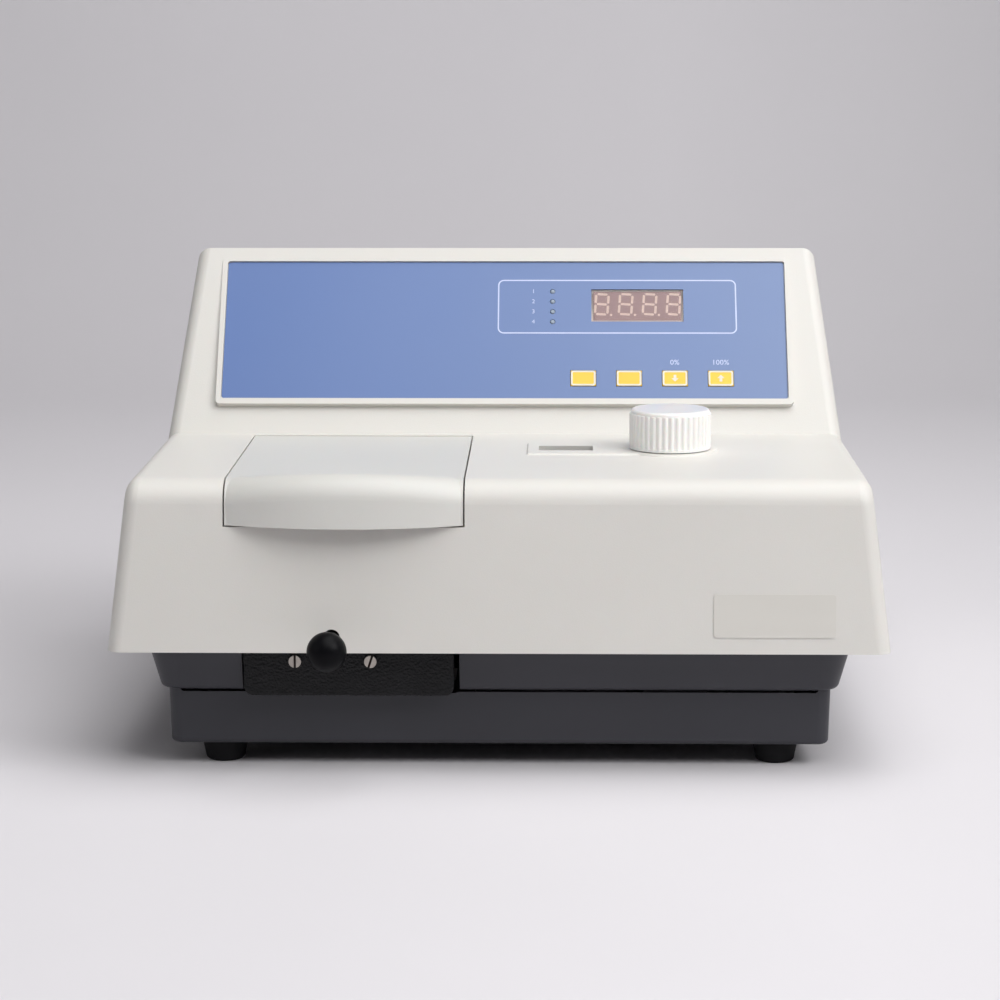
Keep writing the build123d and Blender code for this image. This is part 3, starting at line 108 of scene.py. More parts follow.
def finish(
    name,
    colour,
    roughness,
    vary=0.04,
    vary_scale=14.0,
    grain_scale=900.0,
    grain_depth=0.15,
    grain_distance=0.00012,
    grain="noise",
    rough_vary=0.06,
    stretch=(1, 1, 1),
    **shader_values,
):
    """A finish with slow colour drift, uneven roughness and a fine bump."""
    material = bpy.data.materials.new(name)
    material.use_nodes = True
    tree = material.node_tree
    shader = tree.nodes["Principled BSDF"]
    for key, value in shader_values.items():
        shader.inputs[key.replace("_", " ")].default_value = value
    place = node(tree, "ShaderNodeTexCoord")
    mapping = node(tree, "ShaderNodeMapping")
    mapping.inputs["Scale"].default_value = stretch
    tree.links.new(place.outputs["Object"], mapping.inputs["Vector"])
    drift = node(tree, "ShaderNodeTexNoise", Scale=vary_scale, Detail=3.0)
    tree.links.new(mapping.outputs["Vector"], drift.inputs["Vector"])
    ramp = node(tree, "ShaderNodeValToRGB")
    ramp.color_ramp.elements[0].position = 0.3
    ramp.color_ramp.elements[0].color = shade(colour, 1 - vary)
    ramp.color_ramp.elements[1].position = 0.7
    ramp.color_ramp.elements[1].color = shade(colour, 1 + vary)
    tree.links.new(drift.outputs["Fac"], ramp.inputs["Fac"])
    tree.links.new(ramp.outputs["Color"], shader.inputs["Base Color"])
    gloss = node(tree, "ShaderNodeMapRange")
    gloss.inputs["To Min"].default_value = max(0.02, roughness - rough_vary)
    gloss.inputs["To Max"].default_value = min(1.0, roughness + rough_vary)
    smear = node(tree, "ShaderNodeTexNoise", Scale=vary_scale * 4, Detail=2.0)
    tree.links.new(mapping.outputs["Vector"], smear.inputs["Vector"])
    tree.links.new(smear.outputs["Fac"], gloss.inputs["Value"])
    tree.links.new(gloss.outputs["Result"], shader.inputs["Roughness"])
    if grain == "cells":
        texture = node(tree, "ShaderNodeTexVoronoi", Scale=grain_scale)
        height = texture.outputs["Distance"]
    else:
        texture = node(tree, "ShaderNodeTexNoise", Scale=grain_scale, Detail=4.0, Roughness=0.6)
        height = texture.outputs["Fac"]
    tree.links.new(mapping.outputs["Vector"], texture.inputs["Vector"])
    bump = node(tree, "ShaderNodeBump", Strength=grain_depth, Distance=grain_distance)
    tree.links.new(height, bump.inputs["Height"])
    tree.links.new(bump.outputs["Normal"], shader.inputs["Normal"])
    return material


WHITE = (1.0, 1.0, 1.0)


# painted light and shade: every gradient made here stands in for how the lamps fall on a surface
def fade(material, across, low, high, low_colour, high_colour):
    """Paints light and shade into a finish: multiplies its colour by a slow change along one axis, from low
    to high in metres.
    """
    tree = material.node_tree
    shader = tree.nodes["Principled BSDF"]
    source = shader.inputs["Base Color"].links[0].from_socket
    place = node(tree, "ShaderNodeTexCoord")
    split = node(tree, "ShaderNodeSeparateXYZ")
    tree.links.new(place.outputs["Object"], split.inputs["Vector"])
    along = node(tree, "ShaderNodeMapRange")
    along.inputs["From Min"].default_value = low
    along.inputs["From Max"].default_value = high
    tree.links.new(split.outputs[across], along.inputs["Value"])
    ramp = node(tree, "ShaderNodeValToRGB")
    ramp.color_ramp.elements[0].color = (*low_colour, 1)
    ramp.color_ramp.elements[1].color = (*high_colour, 1)
    tree.links.new(along.outputs["Result"], ramp.inputs["Fac"])
    blend = node(tree, "ShaderNodeMix", data_type="RGBA", blend_type="MULTIPLY")
    blend.inputs["Factor"].default_value = 1.0
    tree.links.new(source, blend.inputs[6])
    tree.links.new(ramp.outputs["Color"], blend.inputs[7])
    tree.links.new(blend.outputs[2], shader.inputs["Base Color"])


def dress(material, *names):
    """Gives CAD nodes a finish by setting their material slots."""
    for name in names:
        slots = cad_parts[name].data.materials
        slots.clear()
        slots.append(material)


print("surface recipe ready")

# %% [markdown]
# The case is moulded in ivory plastic with a fine leather-like grain. Such a grain is too fine to
# model, so it is a cell pattern under a Bump node. The lid comes from another mould and is a touch
# cooler and smoother, which is what makes it readable against the deck. The knob's top carries a
# painted shade, a little darker than its ribs, because it faces the lamps.

# %% Ivory case, lid and knob
ivory = finish(
    "ivory_case", (0.69, 0.672, 0.635), 0.47, vary=0.018, vary_scale=6.0,
    grain="cells", grain_scale=1500.0, grain_depth=0.22, grain_distance=0.00010,
    Subsurface_Weight=0.04, Subsurface_Scale=0.002,
)
lid_ivory = finish(
    "ivory_lid", (0.64, 0.632, 0.60), 0.45, vary=0.015, vary_scale=8.0,
    grain="cells", grain_scale=1700.0, grain_depth=0.16, grain_distance=0.00008,
    Subsurface_Weight=0.04, Subsurface_Scale=0.002,
)
knob_white = finish(
    "white_knob", (0.95, 0.935, 0.915), 0.34, vary=0.012, vary_scale=20.0,
    grain_scale=500.0, grain_depth=0.06, grain_distance=0.00005,
    Subsurface_Weight=0.15, Subsurface_Scale=0.003,
)
knob_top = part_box("wavelength_knob")[1].z
# painted shade: the top 0.8 mm of the knob is darkened because it faces the lamps
fade(knob_white, "Z", knob_top - 0.8 * MM, knob_top, WHITE, (0.77, 0.77, 0.79))
dress(ivory, "top_cover")
dress(lid_ivory, "lid")
dress(knob_white, "wavelength_knob")
print("ivory finishes on", ivory.name, lid_ivory.name, knob_white.name)

# %% [markdown]
# The black parts are of seven blacks. The tray and the rear fittings are satin mouldings with a fine
# even grain. The rubber is duller. The plate round the rod is painted with a crackle that catches the
# light in small specks, the ball is polished, and the chamber's fittings are matt anodised metal.

# %% Blacks
tray_black = finish(
    "satin_black", (0.036, 0.036, 0.044), 0.46, vary=0.10, vary_scale=10.0,
    grain_scale=1400.0, grain_depth=0.20, grain_distance=0.00008, Specular_IOR_Level=0.4,
)
rubber = finish(
    "foot_rubber", (0.006, 0.006, 0.007), 0.70, vary=0.15, vary_scale=40.0,
    grain_scale=900.0, grain_depth=0.25, grain_distance=0.00012, Specular_IOR_Level=0.2,
)
crackle = finish(
    "crackle_black", (0.006, 0.006, 0.007), 0.42, vary=0.30, vary_scale=60.0,
    grain="cells", grain_scale=900.0, grain_depth=0.85, grain_distance=0.00045, Specular_IOR_Level=0.25,
)
ball_black = finish(
    "polished_black", (0.003, 0.003, 0.004), 0.40, vary=0.10, vary_scale=30.0,
    grain_scale=160.0, grain_depth=0.03, grain_distance=0.00005, Specular_IOR_Level=0.08,
)
anodised = finish(
    "matt_anodised", (0.022, 0.022, 0.024), 0.55, vary=0.12, vary_scale=30.0,
    grain_scale=1800.0, grain_depth=0.15, grain_distance=0.00005, Metallic=0.5,
)
seal_foam = finish(
    "seal_foam", (0.020, 0.020, 0.020), 0.85, vary=0.2, vary_scale=60.0,
    grain="cells", grain_scale=1400.0, grain_depth=0.6, grain_distance=0.0003,
)
component_black = finish(
    "component_black", (0.018, 0.018, 0.020), 0.50, vary=0.15, vary_scale=50.0,
    grain_scale=1200.0, grain_depth=0.15, grain_distance=0.00006,
)
dress(tray_black, "base_tray", "power_inlet", "switch_frame", "fuse_holder", "fan_frame", "fan_rotor")
dress(rubber, "feet")
dress(crackle, "slide_plate")
dress(ball_black, "ball_knob", "rocker")
dress(anodised, "sample_chamber", "cell_holder", "beam_tubes", "detector_housing", "monochromator_cover")
dress(seal_foam, "chamber_seal")
dress(component_black, "board_parts", "photodiode")
print("seven blacks")

# %% [markdown]
# Bare metal shows how it was worked. Turned and drawn rods have fine lines along or round them, sheet
# has straight brushing, and castings have a soft uneven skin. Stretching the noise along one axis
# turns the same grain into brush lines. The two screws of the rod plate are of the same steel as the
# others, but their slots carry painted shade that darkens with depth.

# %% Metals
screw_steel, painted_slot_shade_steel = (
    finish(
        name, (0.42, 0.385, 0.35), 0.34, vary=0.18, vary_scale=220.0,
        grain_scale=900.0, grain_depth=0.25, grain_distance=0.00005, Metallic=1.0,
    )
    for name in ("screw_steel", "painted_slot_shade_steel")
)
head_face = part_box("plate_screws")[0].y
# painted shade: the screw slots darken with depth behind the head's face
fade(painted_slot_shade_steel, "Y", head_face + 0.4 * MM, head_face + 1.0 * MM, WHITE, (0.06, 0.05, 0.05))
rod_steel = finish(
    "ground_steel", (0.55, 0.55, 0.56), 0.22, vary=0.05, vary_scale=40.0, stretch=(1, 0.06, 1),
    grain_scale=1200.0, grain_depth=0.12, grain_distance=0.00003, Metallic=1.0,
)
sheet_metal = finish(
    "brushed_sheet", (0.56, 0.56, 0.57), 0.36, vary=0.06, vary_scale=30.0, stretch=(0.04, 1, 1),
    grain_scale=1600.0, grain_depth=0.22, grain_distance=0.00004, Metallic=1.0,
)
cast_metal = finish(
    "cast_metal", (0.42, 0.42, 0.44), 0.48, vary=0.08, vary_scale=50.0,
    grain_scale=500.0, grain_depth=0.35, grain_distance=0.0002, Metallic=1.0,
)
brass = finish(
    "turned_brass", (0.60, 0.42, 0.18), 0.28, vary=0.06, vary_scale=60.0, stretch=(1, 1, 0.1),
    grain_scale=900.0, grain_depth=0.12, grain_distance=0.00004, Metallic=1.0,
)
chrome = finish(
    "bright_plate", (0.62, 0.62, 0.63), 0.14, vary=0.03, vary_scale=60.0,
    grain_scale=400.0, grain_depth=0.04, grain_distance=0.00003, Metallic=1.0,
)
mirror_coat = finish(
    "mirror_coat", (0.80, 0.80, 0.80), 0.05, vary=0.01, vary_scale=60.0,
    grain_scale=100.0, grain_depth=0.01, grain_distance=0.00002, Metallic=1.0,
)
lamination = finish(
    "core_laminations", (0.12, 0.12, 0.13), 0.45, vary=0.10, vary_scale=50.0, stretch=(1, 14, 1),
    grain_scale=160.0, grain_depth=0.6, grain_distance=0.0003, Metallic=0.8,
)
winding = finish(
    "coil_winding", (0.36, 0.14, 0.045), 0.35, vary=0.12, vary_scale=40.0, stretch=(1, 1, 16),
    grain_scale=160.0, grain_depth=0.7, grain_distance=0.0003, Metallic=0.7,
)
dress(painted_slot_shade_steel, "plate_screws")
dress(screw_steel, "base_screws", "rear_screws")
dress(rod_steel, "pull_rod", "changer_guides", "hinge_pins", "knob_shaft", "cell_springs")
dress(sheet_metal, "rear_panel", "lamp_house")
dress(cast_metal, "monochromator", "grating_table", "counter_frame", "serial_port")
dress(brass, "knob_bushing", "counter_shaft")
dress(chrome, "fan_guard", "inlet_pins")
dress(mirror_coat, "mirrors")
dress(lamination, "transformer_core")
dress(winding, "transformer_coil")
print("metals on", sum(1 for item in bpy.data.materials if item.name.endswith(("steel", "metal", "brass"))))

# %% [markdown]
# The control panel is a printed film stuck to the case. The film is blue, slightly glossy and very
# flat, with a faint tooth that softens reflections; a painted shade and painted reflection make it
# darker to the left, away from the lamps. Under its smoked window sit the number modules.

# %% Panel film, keys, window and small coloured parts
PANEL_SHADE_SPAN = 148 * MM
panel_blue = finish(
    "panel_blue", (0.163, 0.235, 0.433), 0.42, vary=0.03, vary_scale=5.0,
    grain_scale=2200.0, grain_depth=0.10, grain_distance=0.00003,
)
# painted shade and painted reflection: the film is darker to the left and paler to the right, where the
# lamps are
fade(panel_blue, "X", -PANEL_SHADE_SPAN, PANEL_SHADE_SPAN, (0.62, 0.76, 0.97), WHITE)
key_yellow = finish(
    "key_yellow", (0.90, 0.57, 0.045), 0.42, vary=0.03, vary_scale=60.0,
    grain_scale=2200.0, grain_depth=0.10, grain_distance=0.00003,
)
print_cream = finish(
    "print_cream", (0.76, 0.72, 0.62), 0.45, vary=0.03, vary_scale=90.0,
    grain_scale=2200.0, grain_depth=0.08, grain_distance=0.00002,
)
print_pale = finish(
    "print_pale_blue", (0.60, 0.66, 0.88), 0.45, vary=0.03, vary_scale=90.0,
    grain_scale=2200.0, grain_depth=0.08, grain_distance=0.00002,
)
label_grey = finish(
    "label_grey", (0.665, 0.645, 0.60), 0.34, vary=0.02, vary_scale=40.0, stretch=(0.1, 1, 1),
    grain_scale=1800.0, grain_depth=0.10, grain_distance=0.00003,
)
board_green = finish(
    "board_green", (0.02, 0.13, 0.055), 0.35, vary=0.10, vary_scale=120.0,
    grain_scale=700.0, grain_depth=0.15, grain_distance=0.00008,
)
module_face = finish(
    "number_module", (0.37, 0.29, 0.29), 0.40, vary=0.04, vary_scale=80.0,
    grain_scale=1500.0, grain_depth=0.08, grain_distance=0.00003,
)
drum_grey = finish(
    "drum_grey", (0.33, 0.34, 0.35), 0.45, vary=0.04, vary_scale=80.0, stretch=(0.2, 1, 1),
    grain_scale=1500.0, grain_depth=0.10, grain_distance=0.00003,
)
lamp_lens = finish(
    "lamp_lens", (0.29, 0.35, 0.43), 0.45, vary=0.05, vary_scale=300.0,
    grain_scale=900.0, grain_depth=0.05, grain_distance=0.00003,
)
window_smoke = finish(
    "smoked_window", (0.90, 0.84, 0.84), 0.10, vary=0.01, vary_scale=30.0, rough_vary=0.01,
    grain_scale=300.0, grain_depth=0.01, grain_distance=0.00002, Transmission_Weight=1.0, IOR=1.1,
)
clear_lens = finish(
    "clear_lens", (0.55, 0.57, 0.58), 0.05, vary=0.01, vary_scale=30.0, rough_vary=0.01,
    grain_scale=300.0, grain_depth=0.01, grain_distance=0.00002, Transmission_Weight=1.0, IOR=1.2,
)
lamp_glass = finish(
    "lamp_glass", (0.90, 0.93, 0.95), 0.04, vary=0.01, vary_scale=30.0, rough_vary=0.01,
    grain_scale=300.0, grain_depth=0.02, grain_distance=0.00002, Transmission_Weight=1.0, IOR=1.45,
)
dress(panel_blue, "control_panel")
dress(key_yellow, "key_1", "key_2", "key_3", "key_4")
dress(label_grey, "label_plate")
dress(board_green, "display_board", "circuit_boards")
dress(module_face, "digit_display")
dress(drum_grey, "counter_drum_1", "counter_drum_2", "counter_drum_3", "counter_drum_4")
dress(lamp_lens, "indicator_leds")
dress(window_smoke, "display_window")
dress(clear_lens, "counter_lens")
dress(lamp_glass, "lamps")
print("panel finishes ready")

# %% [markdown]
# Everything printed on the sloping film is laid out in the film's own plane, where the drawing is
# flat, and then lifted onto the slope by one matrix. The matrix has the panel's across, up and
# outward directions as its columns. They are worked out from the film node, so the print stays on it.

# %% The panel's own plane
PANEL_ANGLE = math.radians(56.0)
up_slope = Vector((0, math.cos(PANEL_ANGLE), math.sin(PANEL_ANGLE)))
outward = Vector((0, -math.sin(PANEL_ANGLE), math.cos(PANEL_ANGLE)))
film_corners = [vertex.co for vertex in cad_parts["control_panel"].data.vertices]
film_top = max(point.dot(outward) for point in film_corners)
film_foot = min(point.dot(up_slope) for point in film_corners)
panel_origin = outward * film_top + up_slope * film_foot
on_panel = Matrix.Translation(panel_origin) @ Matrix(
    (
        (1, 0, 0, 0),
        (0, up_slope.y, outward.y, 0),
        (0, up_slope.z, outward.z, 0),
        (0, 0, 0, 1),
    )
)


def panel_middle(name):
    """The middle of a node's outer face, in the panel's plane."""
    low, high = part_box(name)
    middle = (low + high) / 2
    along = [vertex.co.dot(up_slope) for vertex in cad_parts[name].data.vertices]
    return middle.x, (min(along) + max(along)) / 2 - film_foot


print("panel origin", [round(value, 4) for value in panel_origin])

# %% [markdown]
# A printed frame is a thin line that follows a rounded rectangle. It starts as a plane of the outer
# size. Its corners are rounded with a vertex bevel, an inset marks the width of the line, the middle
# is deleted, and what is left is extruded by the thickness of the ink, so it is a closed solid.

# %% Rounded frames of print
INK = 0.06 * MM
SINK = 0.02 * MM


def print_frame(name, middle, size, corner, line, sink=SINK, height=INK):
    """A closed line of ink round a rounded rectangle, from a little under the surface it is on."""
    bpy.ops.object.select_all(action="DESELECT")
    bpy.ops.mesh.primitive_plane_add(size=1)
    piece = bpy.context.active_object
    piece.scale = (size[0], size[1], 1)
    piece.location = (middle[0], middle[1], -sink)
    bpy.ops.object.transform_apply(location=True, rotation=True, scale=True)
    bpy.ops.object.mode_set(mode="EDIT")
    bpy.ops.mesh.select_all(action="SELECT")
    bpy.ops.mesh.bevel(offset=corner, segments=6, affect="VERTICES")
    bpy.ops.mesh.select_all(action="SELECT")
    bpy.ops.mesh.inset(thickness=line, depth=0)
    bpy.ops.mesh.delete(type="FACE")
    bpy.ops.mesh.select_all(action="SELECT")
    bpy.ops.mesh.extrude_region_move(TRANSFORM_OT_translate={"value": (0, 0, height + sink)})
    bpy.ops.mesh.select_all(action="SELECT")
    bpy.ops.mesh.normals_make_consistent(inside=False)
    bpy.ops.object.mode_set(mode="OBJECT")
    return name_it(settle(piece, on_panel), name)


FRAME_LOW = Vector((-3.9, 38.4)) * MM
FRAME_HIGH = Vector((122.8, 70.7)) * MM
display_frame = print_frame(
    "display_frame", (FRAME_LOW + FRAME_HIGH) / 2, FRAME_HIGH - FRAME_LOW,
    corner=3.2 * MM, line=0.7 * MM,
)
display_frame.data.materials.append(print_pale)
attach(display_frame, "instrument")
print("display frame faces", len(display_frame.data.polygons))

# %% [markdown]
# Each key has a pale printed border and two of them carry an arrow. These are print as well, but they
# sit on the keys, so they ride on each key's own body and go down with it when it is pressed.

# %% Key borders and arrows
KEY_RISE = 0.35 * MM
KEY_ACROSS = 13.2 * MM
KEY_UP = 9.0 * MM
KEY_MARGIN = 0.2 * MM
ARROW_SHAFT = (1.4 * MM, 2.0 * MM)
ARROW_HEAD = 1.9 * MM
ARROW_BARBS = 2.7
ARROW_POINT = 0.04
key_places = [panel_middle(f"key_{number}") for number in (1, 2, 3, 4)]
key_bodies = ("key_one", "key_two", "key_three", "key_four")


def print_arrow(name, middle, direction, height):
    """A broad arrow: a small plane whose one edge is drawn out into a barbed point."""
    bpy.ops.object.select_all(action="DESELECT")
    bpy.ops.mesh.primitive_plane_add(size=1)
    piece = bpy.context.active_object
    piece.scale = (*ARROW_SHAFT, 1)
    bpy.ops.object.transform_apply(location=True, rotation=True, scale=True)
    bpy.ops.object.mode_set(mode="EDIT")
    bpy.ops.mesh.select_all(action="DESELECT")
    bpy.ops.object.mode_set(mode="OBJECT")
    for edge in piece.data.edges:
        ends = [piece.data.vertices[index].co.y for index in edge.vertices]
        edge.select = max(ends) < 0
    bpy.ops.object.mode_set(mode="EDIT")
    bpy.ops.mesh.select_mode(type="EDGE")
    bpy.ops.mesh.extrude_region_move(TRANSFORM_OT_translate={"value": (0, 0, 0)})
    bpy.ops.transform.resize(value=(ARROW_BARBS, 1, 1))
    bpy.ops.mesh.extrude_region_move(TRANSFORM_OT_translate={"value": (0, -ARROW_HEAD, 0)})
    bpy.ops.transform.resize(value=(ARROW_POINT, 1, 1))
    bpy.ops.mesh.select_mode(type="FACE")
    bpy.ops.mesh.select_all(action="SELECT")
    bpy.ops.mesh.extrude_region_move(TRANSFORM_OT_translate={"value": (0, 0, INK + SINK)})
    bpy.ops.mesh.select_all(action="SELECT")
    bpy.ops.mesh.remove_doubles(threshold=0.00001)
    bpy.ops.mesh.normals_make_consistent(inside=False)
    bpy.ops.object.mode_set(mode="OBJECT")
    turn = 0 if direction == "down" else math.pi
    centred = Matrix.Translation((0, ARROW_HEAD / 2, 0))
    spot = Matrix.Translation((middle[0], middle[1], height - SINK))
    return name_it(settle(piece, on_panel @ spot @ Matrix.Rotation(turn, 4, "Z") @ centred), name)


for number, (place, body) in enumerate(zip(key_places, key_bodies), start=1):
    border = print_frame(
        f"key_border_{number}", place, (KEY_ACROSS - KEY_MARGIN, KEY_UP - KEY_MARGIN),
        corner=1.5 * MM, line=0.95 * MM, sink=SINK - KEY_RISE, height=KEY_RISE + INK,
    )
    border.data.materials.append(print_cream)
    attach(border, body)
for number, direction in ((3, "down"), (4, "up")):
    arrow = print_arrow(f"key_arrow_{number}", key_places[number - 1], direction, KEY_RISE)
    arrow.data.materials.append(print_cream)
    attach(arrow, key_bodies[number - 1])
print("keys at", [tuple(round(value / MM, 1) for value in place) for place in key_places])

# %% [markdown]
# Short printed words are text objects. A text object is a curve, so it is given its thickness, turned
# into a mesh and only then laid on the panel. The same helper later numbers the counter's drums.

# %% Printed numbers


def print_text(name, words, size, place, material, body, depth=0.03 * MM):
    bpy.ops.object.select_all(action="DESELECT")
    bpy.ops.object.text_add()
    piece = bpy.context.active_object
    piece.data.body = words
    piece.data.size = size
    piece.data.align_x = "CENTER"
    piece.data.align_y = "CENTER"
    piece.data.extrude = depth
    piece.data.resolution_u = 3
    bpy.ops.object.convert(target="MESH")
    piece = bpy.context.active_object
    settle(piece, place)
    name_it(piece, name)
    piece.data.materials.append(material)
    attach(piece, body)
    return piece


LABEL_UP = 21.3 * MM
for number, words in ((3, "0%"), (4, "100%")):
    spot = Matrix.Translation((key_places[number - 1][0], LABEL_UP, INK / 2))
    label = print_text(f"key_label_{number}", words, 4.2 * MM, on_panel @ spot, print_pale, "instrument")
    print(label.name, len(label.data.polygons), "faces")

NUMBERS_ACROSS = 15.0 * MM
LAMP_PITCH = 6.07 * MM
LAMP_FIRST = 45.45 * MM
for row in range(4):
    spot = Matrix.Translation((NUMBERS_ACROSS, LAMP_FIRST + row * LAMP_PITCH, INK / 2))
    print_text(f"lamp_number_{row + 1}", str(4 - row), 3.4 * MM, on_panel @ spot, print_pale, "instrument")
print("lamps numbered")

# %% [markdown]
# The number display shows four figures of seven bars and a point each. They lie as thin raised bars
# on a mask right behind the window, so the figures look as if they were printed on it. A bar is a
# six-sided disc drawn out along its length, extruded a little, and slanted with the digit. One digit
# is made and copied four times, and the copies are joined into one piece.

# %% Seven-bar digits and their mask
mask_face = finish(
    "display_mask", (0.40, 0.31, 0.31), 0.45, vary=0.03, vary_scale=80.0,
    grain_scale=1500.0, grain_depth=0.08, grain_distance=0.00003,
)
segment_unlit = finish(
    "segment_unlit", (0.78, 0.69, 0.61), 0.35, vary=0.03, vary_scale=300.0,
    grain_scale=1500.0, grain_depth=0.05, grain_distance=0.00002,
)
DIGIT_PITCH = 12.7 * MM
DIGIT_UP = 11.9 * MM
DIGIT_ACROSS = 6.6 * MM
DIGIT_LIFT = 1.1 * MM
BAR = 1.5 * MM
SLANT = math.tan(math.radians(8.0))
WINDOW_THICK = 0.8 * MM
MASK_SIZE = (46.6 * MM, 17.2 * MM, 0.6 * MM)
MASK_TOP = -(WINDOW_THICK + 0.12 * MM)


def make_bar(middle, length, upright):
    """One bar of a figure, with pointed ends, standing or lying at its middle."""
    bpy.ops.object.select_all(action="DESELECT")
    bpy.ops.mesh.primitive_circle_add(vertices=6, radius=BAR / 2, fill_type="NGON")
    piece = bpy.context.active_object
    bpy.ops.object.mode_set(mode="EDIT")
    bpy.ops.mesh.select_all(action="SELECT")
    bpy.ops.mesh.extrude_region_move(TRANSFORM_OT_translate={"value": (0, 0, 0.04 * MM)})
    bpy.ops.object.mode_set(mode="OBJECT")
    for vertex in piece.data.vertices:
        if abs(vertex.co.y) > 0.1 * BAR:
            vertex.co.y += math.copysign((length - BAR) / 2, vertex.co.y)
    turn = Matrix.Identity(4) if upright else Matrix.Rotation(math.pi / 2, 4, "Z")
    return settle(piece, Matrix.Translation((middle[0], middle[1], 0)) @ turn)


def make_digit():
    """An eight of seven bars with its point, leaning to the right."""
    half_up = DIGIT_UP / 2
    half_across = DIGIT_ACROSS / 2
    bars = [make_bar((0, side * half_up), DIGIT_ACROSS - BAR * 0.7, False) for side in (-1, 0, 1)]
    for across in (-half_across, half_across):
        for up in (-half_up / 2, half_up / 2):
            bars.append(make_bar((across, up), half_up - BAR * 0.7, True))
    bpy.ops.object.select_all(action="DESELECT")
    bpy.ops.mesh.primitive_cylinder_add(vertices=16, radius=0.7 * MM, depth=0.08 * MM)
    point_place = Matrix.Translation((half_across + 2.0 * MM, -half_up, 0))
    bars.append(settle(bpy.context.active_object, point_place))
    digit = join_pieces(bars, "digit")
    bpy.ops.object.mode_set(mode="EDIT")
    bpy.ops.mesh.select_all(action="SELECT")
    bpy.ops.mesh.normals_make_consistent(inside=False)
    bpy.ops.object.mode_set(mode="OBJECT")
    lean = Matrix.Identity(4)
    lean[0][1] = SLANT
    return settle(digit, lean)


window_middle = panel_middle("display_window")
bpy.ops.object.select_all(action="DESELECT")
bpy.ops.mesh.primitive_cube_add(size=1)
mask = bpy.context.active_object
mask.scale = MASK_SIZE
mask.location = (*window_middle, MASK_TOP - MASK_SIZE[2] / 2)
bpy.ops.object.transform_apply(location=True, rotation=True, scale=True)
name_it(settle(mask, on_panel), "display_mask")
mask.data.materials.append(mask_face)
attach(mask, "instrument")

digit_pattern = make_digit()
digits = []
for place in range(4):
    select_only(digit_pattern)
    bpy.ops.object.duplicate()
    across = window_middle[0] + (place - 1.5) * DIGIT_PITCH + 0.2 * MM
    spot = Matrix.Translation((across, window_middle[1] + DIGIT_LIFT, MASK_TOP))
    digits.append(settle(bpy.context.active_object, on_panel @ spot))
bpy.data.objects.remove(digit_pattern)
display_digits = join_pieces(digits, "display_digits")
display_digits.data.materials.append(segment_unlit)
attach(display_digits, "instrument")
print("display digits", len(display_digits.data.polygons), "faces")

# %% [markdown]
# Under the little window on the deck sit four drums with the figures 0 to 9 round each rim. A figure
# is made once as text, stood on the drum's rim, and copied round it at 36 degrees. Each drum's figures
# are joined and ride on that drum's body, so they count when the knob turns.

# %% Figures round the counter drums
figure_ink = finish(
    "figure_ink", (0.85, 0.85, 0.83), 0.5, vary=0.03, vary_scale=300.0,
    grain_scale=1500.0, grain_depth=0.05, grain_distance=0.00002,
)
DRUM_BODIES = ("counter_ones", "counter_tens", "counter_hundreds", "counter_thousands")
SHOWN_AT_REST = (0, 5, 5, 0)
for drum, (body, front_figure) in enumerate(zip(DRUM_BODIES, SHOWN_AT_REST), start=1):
    low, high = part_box(f"counter_drum_{drum}")
    axis_point = (low + high) / 2
    radius = (high.z - low.z) / 2
    figures = []
    for figure in range(10):
        turn = Matrix.Rotation(math.radians(36.0 * (front_figure - figure)), 4, "X")
        lift = Matrix.Translation((0, 0, radius))
        figures.append(
            print_text(
                f"figure_{drum}_{figure}", str(figure), 4.4 * MM,
                Matrix.Translation(axis_point) @ turn @ lift, figure_ink, body,
            )
        )
    joined = join_pieces(figures, f"drum_figures_{drum}")
    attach(joined, body)
    print(joined.name, len(joined.data.polygons), "faces")

# %% [markdown]
# The mains switch is marked I and O. The rocker's two sloping faces are found in its own mesh, and
# each mark is laid on the face that it belongs to, at that face's middle and square to it.

# %% Marks on the rocker
rocker_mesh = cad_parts["rocker"].data
rear_faces = [face for face in rocker_mesh.polygons if face.normal.y > 0.9 and face.area > 2e-6]
rocker_low, rocker_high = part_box("rocker")
rocker_middle = (rocker_low + rocker_high) / 2
for words, upper in (("I", True), ("O", False)):
    side = [face for face in rear_faces if (face.center.z > rocker_middle.z) == upper]
    normal = sum((face.normal * face.area for face in side), Vector()).normalized()
    total = sum(face.area for face in side)
    centre = sum((face.center * face.area for face in side), Vector()) / total
    right = Vector((-1, 0, 0))
    up = normal.cross(right)
    place = Matrix.Translation(centre) @ Matrix((right, up, normal)).transposed().to_4x4()
    print_text(f"rocker_mark_{words}", words, 5.0 * MM, place, figure_ink, "switch")
print("rocker marks placed")

# %% [markdown]
# The instrument stands on a pale, softly lit sweep, as in a catalogue picture. A sweep has no corner
# between floor and wall: the plane's rear edge is extruded upwards and the bend is rounded with a
# bevel. The wall stands two metres behind, so that the back of the case can be looked at as well.
# The paper's colour changes slowly along two axes, which imitates the falloff of the light.

# %% Floor and backdrop
FLOOR_ACROSS = 8.0
FLOOR_FRONT = -3.7
WALL_AT = 2.1
WALL_HIGH = 3.0
BEND = 0.9
bpy.ops.object.select_all(action="DESELECT")
bpy.ops.mesh.primitive_plane_add(size=1)
sweep = bpy.context.active_object
sweep.scale = (FLOOR_ACROSS, WALL_AT - FLOOR_FRONT, 1)
sweep.location = (0, (WALL_AT + FLOOR_FRONT) / 2, 0)
bpy.ops.object.transform_apply(location=True, rotation=True, scale=True)
bpy.ops.object.mode_set(mode="EDIT")
bpy.ops.mesh.select_mode(type="EDGE")
bpy.ops.mesh.select_all(action="DESELECT")
bpy.ops.object.mode_set(mode="OBJECT")
for edge in sweep.data.edges:
    edge.select = all(sweep.data.vertices[index].co.y > 1.0 for index in edge.vertices)
bpy.ops.object.mode_set(mode="EDIT")
